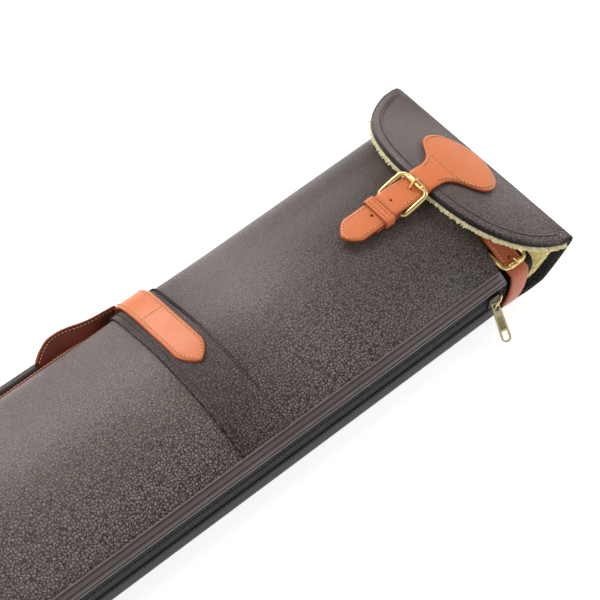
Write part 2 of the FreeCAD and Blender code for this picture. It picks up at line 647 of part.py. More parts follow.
# ---- handle side --------------------------------------------------------------------------------------
def side_ring(x, stand_off, thick, half_width, start, end):
    """Part of a ring around the folded handle side, between two angles in degrees above horizontal."""
    centre = V(x - half_width, handle_side(x + half_width) - SIDE_RADIUS + WRAP_BULGE, SIDE_RADIUS)
    r_in = SIDE_RADIUS + stand_off
    ring = Part.makeCylinder(r_in + thick, 2 * half_width, centre, V(1, 0, 0))
    ring = ring.cut(Part.makeCylinder(r_in, 2 * half_width + 2, centre - V(1, 0, 0), V(1, 0, 0)))
    reach = 90.0
    wedge = [centre - V(1, 0, 0)]
    for i in range(7):
        a = math.radians(start + (end - start) * i / 6.0)
        wedge.append(centre + V(-1, reach * math.cos(a), reach * math.sin(a)))
    return ring.common(prism(wedge, V(2 * half_width + 2, 0, 0)))


def handle_wrap(x):
    """Tan leather wrap: a pointed tab on the front, carried loosely over the folded side and down it."""
    half = WRAP_WIDTH / 2
    thick = 2.6
    stand_off = 3.0
    ring_y = handle_side(x + half) - SIDE_RADIUS + WRAP_BULGE
    count = 10
    low = []
    for i in range(count + 1):
        share = i / float(count)
        y = WRAP_TIP_Y + (ring_y - WRAP_TIP_Y) * share
        on_front = front_z(x, y) if y < ring_y - WRAP_BULGE else 2 * SIDE_RADIUS
        rise = max(share - 0.55, 0.0) / 0.45
        low.append((y, on_front + GAP + (stand_off - GAP) * rise ** 2))
    outline = [V(x - half, y, z) for y, z in low] + [V(x - half, y, z + thick) for y, z in low[::-1]]
    strap = prism(outline, V(2 * half, 0, 0))
    side = [(1.0, -1.0), (1.0, 24.0), (0.97, 18.0), (0.85, 11.0), (0.6, 5.0), (0.3, 1.5), (0.0, 0.0),
            (0.0, -1.0)]
    for sign in (1, -1):
        corner = []
        for share, y in side:
            reach = half * share + (1 if share == 1.0 else 0)
            corner.append(V(x + sign * reach, WRAP_TIP_Y + y, 0))
        strap = strap.cut(prism(corner, V(0, 0, 100)))
    return strap.fuse([side_ring(x, stand_off, thick, half, -48.0, 90.0)]).removeSplitter()


def handle_path():
    """(x, y) of the handle's middle line: slack ends that bow outward, and a grip nearer the case."""
    near, far = WRAP_NEAR_X - WRAP_WIDTH / 2 - 1.0, WRAP_FAR_X + WRAP_WIDTH / 2 + 1.0
    base_near, base_far = handle_side(near) - DEEP, handle_side(far) - DEEP
    span = far - near
    shape = [(0.0, 9.0), (0.05, 10.8), (0.1, 14.0), (0.145, 18.3), (0.175, 20.0), (0.205, 19.4), (0.24, 15.5),
             (0.268, 10.4), (0.38, 10.2), (0.5, 10.8)]
    shape += [(1.0 - t, out) for t, out in shape[-2::-1]]
    return [(near + span * t, base_near + (base_far - base_near) * t + out) for t, out in shape]


def handle_piece(first, last, half_height, thick):
    """A flat length of the handle between two points of its path, standing on edge beside the case."""
    points = handle_path()[first:last + 1]
    outline = [V(x, y - thick / 2, SIDE_RADIUS - half_height) for x, y in points]
    outline += [V(x, y + thick / 2, SIDE_RADIUS - half_height) for x, y in points[::-1]]
    return prism(outline, V(0, 0, 2 * half_height))


def handle_grip():
    """Dark rolled leather grip in the middle of the handle."""
    points = [V(x, y, SIDE_RADIUS) for x, y in handle_path()[GRIP_FIRST:GRIP_LAST + 1]]
    points[0] = points[0] + V(-1.5, 0, 0)
    points[-1] = points[-1] + V(1.5, 0, 0)
    spans = []
    for a, b in zip(points, points[1:]):
        spans.append(Part.makeCylinder(5.0, (b - a).Length, a, b - a))
    for p in points[1:-1]:
        spans.append(Part.makeSphere(5.0, p))
    return spans[0].multiFuse(spans[1:]).removeSplitter()


def handle_base():
    """Thin tan strip sewn along the side between the two wraps, behind the handle."""
    x0, x1 = WRAP_FAR_X + WRAP_WIDTH / 2 + 0.5, SEAM_X - 0.5
    y0, y1 = [handle_side(x) - DEEP + 0.15 for x in (x0, x1)]
    half, thick = 7.0, 1.6
    outline = [V(x0, y0, SIDE_RADIUS - half), V(x1, y1, SIDE_RADIUS - half),
               V(x1, y1 + thick, SIDE_RADIUS - half), V(x0, y0 + thick, SIDE_RADIUS - half)]
    return prism(outline, V(0, 0, 2 * half))


def build():
    """Every piece of the case by name."""
    parts = {
        "mouth_sleeve": mouth_sleeve(),
        "lower_sleeve": lower_sleeve(),
        "fleece_lining": fleece_lining(),
        "root_fleece": root_fleece(),
        "root_binding": root_binding(),
        "end_cap": end_cap(),
        "end_piping": end_piping(),
        "end_fleece": end_fleece(),
        "front_welt": front_welt(),
        "back_welt": back_welt(),
        "zip_tape_front": zip_tape(ZIP_Z + 3.2, 41.0),
        "zip_tape_back": zip_tape(12.0, ZIP_Z - 3.2),
        "zip_coil_front": zip_coil(1),
        "zip_coil_back": zip_coil(-1),
        "zip_top_stops": Part.makeCompound(zip_top_stops()),
        "zip_bottom_stop": zip_bottom_stop(),
        "zip_end_tab": zip_end_tab(),
        "zip_slider": slider_body(),
        "zip_slider_bail": slider_bail(),
        "zip_puller": zip_puller(),
        "flap_panel": flap_panel(),
        "flap_fleece": flap_fleece(),
        "flap_binding": flap_binding(),
        "flap_patch": flap_patch(),
        "mouth_tongue": mouth_tongue(),
        "mouth_strap_root": mouth_strap_root(),
        "handle_wrap_near": handle_wrap(WRAP_NEAR_X),
        "handle_wrap_far": handle_wrap(WRAP_FAR_X),
        "handle_end_near": handle_piece(0, GRIP_FIRST, 11.0, 3.2),
        "handle_end_far": handle_piece(GRIP_LAST, GRIP_LAST + GRIP_FIRST, 11.0, 3.2),
        "handle_grip": handle_grip(),
        "handle_base_strip": handle_base(),
    }
    parts.update(flap_buckle_parts())
    parts.update(mouth_buckle_parts())
    return parts


def main():
    os.makedirs(OUT, exist_ok=True)
    for name, shape in build().items():
        solids = shape.Solids
        if not solids or not all(s.isValid() for s in solids):
            print("bad shape:", name, len(solids))
        print(name, len(solids), round(shape.Volume))
        shape.exportStep(os.path.join(OUT, name + ".step"))


main()
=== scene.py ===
"""Leather cue case: leather, fleece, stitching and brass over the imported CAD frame.

Lengths in the shape functions are millimetres in the CAD frame; meshes are written in metres.
A cell is one (point, outward normal, grain coordinate) of a sheet, and rows of cells make the sheet.
"""
import json
import math
import random

import bmesh
import bpy
from mathutils import Matrix, Vector, noise


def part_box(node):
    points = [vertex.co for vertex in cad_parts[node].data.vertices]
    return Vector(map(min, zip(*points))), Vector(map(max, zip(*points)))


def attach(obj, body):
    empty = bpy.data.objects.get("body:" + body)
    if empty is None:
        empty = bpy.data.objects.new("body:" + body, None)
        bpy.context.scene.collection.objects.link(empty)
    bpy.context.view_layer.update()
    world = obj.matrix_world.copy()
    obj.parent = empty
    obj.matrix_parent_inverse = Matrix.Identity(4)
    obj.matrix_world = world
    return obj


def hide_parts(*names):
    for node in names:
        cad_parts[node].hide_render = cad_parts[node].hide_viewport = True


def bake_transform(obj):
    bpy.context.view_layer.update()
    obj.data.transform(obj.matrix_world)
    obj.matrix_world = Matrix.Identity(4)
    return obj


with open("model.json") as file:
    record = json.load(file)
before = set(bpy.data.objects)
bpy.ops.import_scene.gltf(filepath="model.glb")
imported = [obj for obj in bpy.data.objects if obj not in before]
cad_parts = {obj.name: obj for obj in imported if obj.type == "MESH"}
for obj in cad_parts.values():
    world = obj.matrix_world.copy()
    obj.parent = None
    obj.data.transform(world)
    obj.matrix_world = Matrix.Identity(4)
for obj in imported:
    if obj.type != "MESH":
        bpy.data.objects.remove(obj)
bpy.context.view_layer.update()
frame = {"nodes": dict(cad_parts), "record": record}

MM = 0.001
UP = Vector((0, 0, 1))
ZIP_OUT = Vector((0, -1, 0))         # away from the zip side


def mm_box(node):
    """A CAD node's lowest and highest corners in millimetres."""
    low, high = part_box(node)
    return low / MM, high / MM


def joint_mm(name):
    """A joint's position in millimetres."""
    return next(Vector(j["pos_m"]) / MM for j in frame["record"]["behaviour"]["joints"] if j["name"] == name)


# ---- driving dimensions, the first ones read from the frame, the rest given ---------------------------
COIL_LOW, COIL_HIGH = mm_box("zip_coil_front")
COIL_BACK_LOW, COIL_BACK_HIGH = mm_box("zip_coil_back")
HINGE = joint_mm("flap_hinge")
FLAP_HEEL = joint_mm("flap_buckle_tilt")
PULL_EYE = joint_mm("puller_swing")

BODY_END = mm_box("lower_sleeve")[0].x   # closed end of the sleeve
ZIP_Y = -100.0                       # zip side of the sleeve
ZIP_Z = (COIL_LOW.z + COIL_BACK_HIGH.z) / 2
EDGE_Z = 46.0                        # height of the front's zip edge
CREST_Y = -8.0                       # y of the front's highest line
SIDE_R = 24.0                        # radius of the folded handle side
SHOULDER = 17.0                      # length over which the front runs into the fold
SEAM_X = -280.5                      # lower edge of the mouth sleeve
EDGE_ROW_X = SEAM_X + 5.0            # stitch row along that edge
INNER_SEAM_X = -236.0                # second stitch row across the mouth sleeve
DEEP = 2.4                           # the lower sleeve lies this much under the mouth sleeve
LEATHER = 2.2
LINING_DEPTH = 10.2                  # face of the fleece lining, under the outside
LINING_X = 18.8                      # the lining follows the mouth's slant no further than this
ROOT_X = 12.0                        # where the back panel begins to climb
ROOT_Z = 43.5                        # height at which the climb meets the flap's fold
ROOT_ZIP_Y = -107.0
ROOT_HANDLE_Y = 110.0
FLAP_REACH = 79.0
FLAP_MIDDLE = 8.5
FLAP_HALF = 116.0
FLAP_ROUNDING = 2.3
FLAP_RISE = 28.0
FLAP_COLUMNS = 61
COLUMN_REACH = 0.985                 # share of the half width that the leather's columns cover
STRAP_Y = FLAP_HEEL.y
STRAP_HALF = 13.5                    # half width of the flap's strap
PATCH_LIFT = 1.7                     # gap between the flap's outer face and the patch's lower face
STITCH = 3.4                         # stitch pitch
COIL_PITCH = 2.1


# ---- small maths --------------------------------------------------------------------------------------
def clamp(value):
    """A value held between 0 and 1."""
    return min(max(value, 0.0), 1.0)


def ease(value):
    """Smooth step from 0 to 1."""
    t = clamp(value)
    return t * t * (3 - 2 * t)


def spread(k, count):
    """Value from -1 to 1 at step k of count, closer together towards both ends."""
    return math.sin(math.pi / 2 * (-1 + 2 * k / count))


def wobble(x, y, z):
    """Smooth noise between -1 and 1."""
    return noise.noise(Vector((x, y, z)))


def facing(x, y, z):
    """A normal function that gives the same direction everywhere."""
    return lambda p: Vector((x, y, z))


def run_lengths(path):
    """Length along a path at each of its points."""
    lengths = [0.0]
    for a, b in zip(path, path[1:]):
        lengths.append(lengths[-1] + (b - a).length)
    return lengths


def resample(points, count):
    """Evenly spaced points along a polyline."""
    lengths = run_lengths(points)
    out, k = [], 0
    for i in range(count):
        target = lengths[-1] * i / (count - 1.0)
        while k < len(lengths) - 2 and lengths[k + 1] < target:
            k += 1
        span = max(lengths[k + 1] - lengths[k], 1e-9)
        out.append(points[k].lerp(points[k + 1], clamp((target - lengths[k]) / span)))
    return out


def smooth_path(points, count):
    """Evenly spaced points on a Catmull-Rom curve through the given points."""
    pts = [points[0] * 2 - points[1]] + list(points) + [points[-1] * 2 - points[-2]]
    dense = []
    for i in range(1, len(pts) - 2):
        p0, p1, p2, p3 = pts[i - 1:i + 3]
        for k in range(16):
            t = k / 16.0
            dense.append(0.5 * (2 * p1 + (p2 - p0) * t + (2 * p0 - 5 * p1 + 4 * p2 - p3) * t * t
                                + (3 * p1 - p0 - 3 * p2 + p3) * t ** 3))
    dense.append(points[-1])
    return resample(dense, count)


def hermite(t, a, b, slope_a, slope_b):
    """Point at share t of the smooth run from a to b with the given slopes."""
    return (a * (2 * t ** 3 - 3 * t * t + 1) + slope_a * (t ** 3 - 2 * t * t + t)
            + b * (3 * t * t - 2 * t ** 3) + slope_b * (t ** 3 - t * t))


def tangent(path, i):
    """Unit direction of a path at point i."""
    return (path[min(i + 1, len(path) - 1)] - path[max(i - 1, 0)]).normalized()


def across(path, i, up):
    """A path's upward normal at point i, made square to it, and the direction to its side."""
    along = tangent(path, i)
    n = (up - along * up.dot(along)).normalized()
    return n, n.cross(along)


def stations(first, last, step, lines=(), fine=0.9):
    """Evenly spaced values between first and last, with close ones added around the given lines."""
    count = max(int(abs(last - first) / step), 2)
    values = {round(first + (last - first) * i / count, 3) for i in range(count + 1)}
    low, high = min(first, last), max(first, last)
    for line in lines:
        near = [line + k * fine for k in (-3, -2, -1, 0, 1, 2, 3)]
        values |= {round(v, 3) for v in near if low < v < high}
    ordered = sorted(values)
    kept = [ordered[0]]
    for v in ordered[1:-1]:
        if v - kept[-1] > 0.35 and ordered[-1] - v > 0.35:
            kept.append(v)
    return kept + [ordered[-1]]


# ---- the sleeve's outline -----------------------------------------------------------------------------
def crown(x):
    """Height of the front's highest line at station x."""
    return 66.0 + 4.0 * ease((x + 205.0) / 110.0)


def handle_side(x):
    """y of the outermost line of the folded handle side."""
    flare = max(x + 200.0, 0.0) / 200.0
    return 97.4 + 4.9 * flare ** 2 + 0.024 * min(x + 236.0, 0.0)


def front_arc(x):
    """Centre (y, z) and radius of the front's arc, from the zip edge over the crown to the handle side."""
    ax, az = ZIP_Y, EDGE_Z
    bx, bz = CREST_Y, crown(x)
    cx, cz = handle_side(x) - SIDE_R, 2 * SIDE_R
    d = 2 * (ax * (bz - cz) + bx * (cz - az) + cx * (az - bz))
    a2, b2, c2 = ax * ax + az * az, bx * bx + bz * bz, cx * cx + cz * cz
    y = (a2 * (bz - cz) + b2 * (cz - az) + c2 * (az - bz)) / d
    z = (a2 * (cx - bx) + b2 * (ax - cx) + c2 * (bx - ax)) / d
    return y, z, math.hypot(ax - y, az - z)


def front_angles(x):
    """Angles of the front's arc at the zip edge and at the handle side."""
    cy, cz, _ = front_arc(x)
    return math.atan2(EDGE_Z - cz, ZIP_Y - cy), math.atan2(2 * SIDE_R - cz, handle_side(x) - SIDE_R - cy)


def outline_lengths(x):
    """Arc lengths at which the front, the fold and the back end."""
    first, last = front_angles(x)
    front_len = front_arc(x)[2] * (first - last)
    fold_end = front_len + math.pi * SIDE_R
    return front_len, fold_end, fold_end + (handle_side(x) - SIDE_R) - ZIP_Y


def shoulder_point(x, t):
    """Point and normal at share t of the smooth run from the front into the fold."""
    cy, cz, radius = front_arc(x)
    side = handle_side(x) - SIDE_R
    a0 = front_angles(x)[1] + SHOULDER / radius
    a1 = math.pi / 2 - SHOULDER / SIDE_R
    p0 = Vector((x, cy + radius * math.cos(a0), cz + radius * math.sin(a0)))
    p1 = Vector((x, side + SIDE_R * math.cos(a1), SIDE_R + SIDE_R * math.sin(a1)))
    reach = (p1 - p0).length
    m0 = Vector((0, math.sin(a0), -math.cos(a0))) * reach
    m1 = Vector((0, math.sin(a1), -math.cos(a1))) * reach
    along = (p0 * (6 * t * t - 6 * t) + m0 * (3 * t * t - 4 * t + 1)
             + p1 * (6 * t - 6 * t * t) + m1 * (3 * t * t - 2 * t))
    return hermite(t, p0, p1, m0, m1), Vector((0, -along.z, along.y)).normalized()


def outline_point(x, s, inset=0.0):
    """Point and outward normal at arc length s from the zip edge over the front, the side and the back."""
    cy, cz, radius = front_arc(x)
    side = handle_side(x) - SIDE_R
    front_len, fold_end, _ = outline_lengths(x)
    if abs(s - front_len) < SHOULDER:
        point, normal = shoulder_point(x, (s - front_len + SHOULDER) / (2 * SHOULDER))
    elif s <= front_len:
        a = front_angles(x)[0] - s / radius
        normal = Vector((0, math.cos(a), math.sin(a)))
        point = Vector((x, cy + radius * normal.y, cz + radius * normal.z))
    elif s <= fold_end:
        a = math.pi / 2 - (s - front_len) / SIDE_R
        normal = Vector((0, math.cos(a), math.sin(a)))
        point = Vector((x, side + SIDE_R * normal.y, SIDE_R + SIDE_R * normal.z))
    else:
        normal = Vector((0, 0, -1))
        point = Vector((x, side - (s - front_len - math.pi * SIDE_R), 0.0))
    return point - normal * inset, normal


def outline_normal(p):
    """Outward normal of the sleeve at a point near its surface."""
    side = handle_side(p.x) - SIDE_R
    on_fold = Vector((0, p.y - side, p.z - SIDE_R)).normalized()
    if p.y > side + 10.0:
        return on_fold
    if p.z < 10.0:
        return Vector((0, 0, -1))
    cy, cz, _ = front_arc(p.x)
    on_front = Vector((0, p.y - cy, p.z - cz)).normalized()
    return on_front.lerp(on_fold, clamp((p.y - side + 14.0) / 24.0)).normalized()


def mouth_x(f):
    """x of the mouth edge at share f of the outline: slanted on the front, straight on the back."""
    front, fold, total = outline_lengths(0.0)
    s = f * total
    slant = 12.0 + 0.12 * outline_point(0.0, s)[0].y
    late = ease((s - (front + 0.55 * (fold - front))) / (0.45 * (fold - front)))
    return slant + (ROOT_X - 1.0 - slant) * late


def fold_profile(t):
    """(x, z) of the back panel from the mouth (t = 0) up to the flap's fold (t = 1)."""
    return ROOT_X + (HINGE.x - ROOT_X - 3.0) * t ** 1.05, ROOT_Z * t ** 1.9


def fold_normal(t, back=0.01):
    """Normal of the back panel's inner face at share t of its climb."""
    x0, z0 = fold_profile(max(t - back, 0.0))
    x1, z1 = fold_profile(min(t + 0.01, 1.0))
    slope = math.atan2(z1 - z0, x1 - x0)
    return Vector((-math.sin(slope), 0, math.cos(slope)))


def root_sides(x):
    """y of the back panel's two edges past the mouth."""
    low = ZIP_Y + 1.0 + (ROOT_ZIP_Y - ZIP_Y - 1.0) * clamp((x - 12.0) / 34.0)
    return low, 79.0 + (ROOT_HANDLE_Y - 79.0) * ease((x - 10.0) / 36.0)


# ---- the flap's shape ---------------------------------------------------------------------------------
def flap_edge(y):
    """x of the flap's free edge at y."""
    t = min(abs(y - FLAP_MIDDLE) / FLAP_HALF, 1.0)
    return HINGE.x - FLAP_REACH * (1.0 - t ** FLAP_ROUNDING) ** (1.0 / FLAP_ROUNDING)


def flap_z(x, y):
    """Height of the flap's outer face."""
    t = (y - FLAP_MIDDLE) / FLAP_HALF
    drop = 1.0 if t > 0 else 0.41
    share = clamp((HINGE.x - x) / FLAP_REACH)
    return HINGE.z + 2.2 + FLAP_RISE * (1.0 - drop * t * t) * math.sin(math.pi / 2 * share)


def flap_normal(x, y):
    """Outward normal of the flap's outer face."""
    step = 0.5
    dx = (flap_z(x + step, y) - flap_z(x - step, y)) / (2 * step)
    dy = (flap_z(x, y + step) - flap_z(x, y - step)) / (2 * step)
    return Vector((-dx, -dy, 1.0)).normalized()


def flap_column(k):
    """y of a column of the flap, closer together towards both sides."""
    return FLAP_MIDDLE + FLAP_HALF * COLUMN_REACH * spread(k, FLAP_COLUMNS - 1)


def flap_edge_points(margin=0.0, count=120, up=0.0):
    """Points along the flap's free edge, pulled in by margin."""
    points = []
    power = 2.0 / FLAP_ROUNDING
    half = FLAP_HALF * COLUMN_REACH - margin
    for i in range(count + 1):
        a = math.pi * i / count
        c = math.cos(a)
        y = FLAP_MIDDLE + half * math.copysign(abs(c) ** power, c)
        x = min(HINGE.x - (FLAP_REACH - margin) * math.sin(a) ** power, HINGE.x - 6.0)
        points.append(Vector((x, y, flap_z(x, y) + up)))
    return resample(points, count + 1)


def flap_inward(path, i, n):
    """Direction across the flap's edge at point i of a path along it, towards the flap's middle."""
    inward = tangent(path, i).cross(n).normalized()
    middle = Vector((HINGE.x, FLAP_MIDDLE, path[i].z))
    return -inward if inward.dot(middle - path[i]) < 0 else inward


# ---- mesh helpers -------------------------------------------------------------------------------------
def new_mesh(name, verts, faces, uvs=None, edge=None):
    """A smooth object from millimetre vertices; uvs and edge are per vertex."""
    mesh = bpy.data.meshes.new(name)
    mesh.from_pydata([Vector(v) * MM for v in verts], [], faces)
    mesh.update()
    if uvs is not None:
        layer = mesh.uv_layers.new(name="grain")
        for loop in mesh.loops:
            layer.data[loop.index].uv = [c * MM for c in uvs[loop.vertex_index]]
    if edge is not None:
        mesh.attributes.new("edge", "FLOAT", "POINT").data.foreach_set("value", edge)
    for polygon in mesh.polygons:
        polygon.use_smooth = True
    obj = bpy.data.objects.new(name, mesh)
    bpy.context.scene.collection.objects.link(obj)
    return obj


def dress(obj, material, slot, body=None, *nodes):
    """Gives a piece its material and body, in place of the named CAD nodes; slot is not used."""
    if nodes:
        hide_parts(*nodes)
    obj.data.materials.clear()
    obj.data.materials.append(material)
    if body:
        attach(obj, body)
    return obj


def grid_faces(rows, cols, start=0, flip=False, wrap=False, ring=False):
    """Quads of a rows x cols vertex grid; wrap joins the last column to the first, ring the last row."""
    faces = []
    for r in range(rows if ring else rows - 1):
        low, high = start + r * cols, start + (r + 1) % rows * cols
        for c in range(cols if wrap else cols - 1):
            n = (c + 1) % cols
            quad = [low + c, low + n, high + n, high + c]
            faces.append(quad[::-1] if flip else quad)
    return faces


def rim_cells(rows, cols):
    """(row, column) of a grid's border, in order round it."""
    rim = [(0, c) for c in range(cols)] + [(r, cols - 1) for r in range(1, rows)]
    return rim + [(rows - 1, c) for c in range(cols - 2, -1, -1)] + [(r, 0) for r in range(rows - 2, 0, -1)]


def recalc(obj):
    """Makes a closed piece's normals point out."""
    bm = bmesh.new()
    bm.from_mesh(obj.data)
    bmesh.ops.recalc_face_normals(bm, faces=bm.faces)
    bm.to_mesh(obj.data)
    bm.free()
    obj.data.update()
    return obj


def bar(name, verts, cols, uvs=None, edge=None):
    """A closed bar made of rings of cols vertices, with a face at each end."""
    rows = len(verts) // cols
    ends = [list(range(cols)), [(rows - 1) * cols + k for k in range(cols)][::-1]]
    return recalc(new_mesh(name, verts, grid_faces(rows, cols, wrap=True) + ends, uvs, edge))


def sheet(name, cells, thick):
    """A closed leather sheet: rows of cells, the same rows thick below them, and rounded side walls."""
    rows, cols = len(cells), len(cells[0])
    size = rows * cols
    flat = [cell for row in cells for cell in row]
    verts = [p for p, n, uv in flat] + [p - n * thick for p, n, uv in flat]
    uvs = [uv for p, n, uv in flat] * 2
    edge = [0.0] * 2 * size
    faces = grid_faces(rows, cols) + grid_faces(rows, cols, size, True)
    rim = rim_cells(rows, cols)
    count = len(rim)
    for i, (r, c) in enumerate(rim):
        (r0, c0), (r1, c1) = rim[i - 1], rim[(i + 1) % count]
        point, normal, uv = cells[r][c]
        out = (cells[r1][c1][0] - cells[r0][c0][0]).cross(normal)
        inner = cells[min(max(r, 1), rows - 2)][min(max(c, 1), cols - 2)][0]
        if out.dot(inner - point) > 0:
            out = -out
        verts.append(point - normal * thick * 0.5 + out.normalized() * (0.32 * thick))
        uvs.append(uv)
        edge.append(1.0)
        edge[r * cols + c] = 0.55
        edge[size + r * cols + c] = 1.0
        a, b = r * cols + c, r1 * cols + c1
        ma, mb = 2 * size + i, 2 * size + (i + 1) % count
        faces += [[a, ma, mb, b], [ma, size + a, size + b, mb]]
    return recalc(new_mesh(name, verts, faces, uvs, edge))


def tube(points, radius, sides=12, closed=False, flatten=1.0, up=None):
    """Vertices and faces of a round bar through points; radius may be a list."""
    count = len(points)
    verts = []
    side_dir = None
    for i, p in enumerate(points):
        before = points[i - 1] if (i or closed) else points[i]
        after = points[(i + 1) % count] if (i < count - 1 or closed) else points[i]
        along = (after - before).normalized()
        if side_dir is None or up:
            side_dir = along.cross(up or UP)
            if side_dir.length < 1e-3:
                side_dir = along.cross(Vector((0, 1, 0)))
        side_dir = (side_dir - along * side_dir.dot(along)).normalized()
        other = side_dir.cross(along)
        r = radius[i] if isinstance(radius, (list, tuple)) else radius
        for k in range(sides):
            a = 2 * math.pi * k / sides
            verts.append(p + side_dir * math.cos(a) * r + other * math.sin(a) * r * flatten)
    faces = grid_faces(count, sides, wrap=True, ring=closed)
    if not closed:
        faces += [list(range(sides))[::-1], [(count - 1) * sides + k for k in range(sides)]]
    return verts, faces


def merge(lists):
    """Joins several (vertices, faces) into one."""
    verts, faces = [], []
    for v, f in lists:
        base = len(verts)
        verts += v
        faces += [[i + base for i in face] for face in f]
    return verts, faces


def strap(name, path, widths, thick, ups, crown_up=0.5, across_steps=11):
    """A strap along its lower face's middle line, with a half width and an upward direction per point."""
    cells = []
    for i, run in enumerate(run_lengths(path)):
        n, side = across(path, i, ups[i])
        row = []
        for k in range(across_steps):
            t = -math.cos(math.pi * k / (across_steps - 1))
            rise = thick + crown_up * (1 - abs(t) ** 4) - 0.35 * thick * abs(t) ** 14
            point = path[i] + side * widths[i] * t + n * rise
            row.append((point, (n + side * t * 0.15).normalized(), (run, widths[i] * t)))
        cells.append(row)
    return sheet(name, cells, thick)


def apply_modifiers(obj):
    """Replaces a piece's mesh by its evaluated one."""
    bpy.context.view_layer.update()
    evaluated = obj.evaluated_get(bpy.context.evaluated_depsgraph_get())
    mesh = bpy.data.meshes.new_from_object(evaluated)
    obj.modifiers.clear()
    obj.data = mesh


def punch(obj, holes):
    """Cuts round holes, each given as (centre, axis, radius, depth)."""
    cutters = []
    for centre, axis, radius, depth in holes:
        ends = [centre - axis * depth, centre + axis * depth]
        cutter = recalc(new_mesh("cutter", *tube(ends, radius, sides=20)))
        modifier = obj.modifiers.new("hole", "BOOLEAN")
        modifier.object = cutter
        modifier.operation = "DIFFERENCE"
        modifier.solver = "EXACT"
        cutters.append(cutter)
    apply_modifiers(obj)
    for cutter in cutters:
        bpy.data.objects.remove(cutter)


def offset_rows(path, widths, ups, inset, height):
    """Two stitch paths along a strap's edges, inset from them, at a height over its lower face."""
    left, right = [], []
    for i, p in enumerate(path):
        n, side = across(path, i, ups[i])
        reach = max(widths[i] - inset, 0.0)
        left.append(p + side * reach + n * height)
        right.append(p - side * reach + n * height)
    return left, right


def stitch_row(path, normal_at, pitch=STITCH, length=2.5, radius=0.42, lift=0.18, bore=1.0):
    """Stitches, and dark plugs of painted shade in the holes between them, along a path, as two (vertices,
    faces).
    """
    count = max(int(run_lengths(path)[-1] / pitch), 1)
    spots = resample(path, count * 4 + 1)
    half = length / 2
    parts, holes = [], []
    for i in range(count):
        start, centre, end = spots[i * 4], spots[i * 4 + 2], spots[i * 4 + 4]
        along = (end - start).normalized()
        n = normal_at(centre)
        # painted shade: a dark plug stands in for the shade in each stitch hole
        hole = [start - n * 0.5, start + n * (lift * 0.5 + 0.06)]
        holes.append(tube(hole, radius * bore, sides=7, up=n.cross(along)))
        points, radii = [], []
        for t in (-1.0, -0.6, 0.0, 0.6, 1.0):
            points.append(centre + along * half * t + n * (lift + 0.3 * radius - 0.9 * radius * t * t))
            radii.append(radius * math.sqrt(max(1.0 - 0.8 * t * t, 0.05)))
        parts.append(tube(points, radii, sides=6))
    return merge(parts), merge(holes)


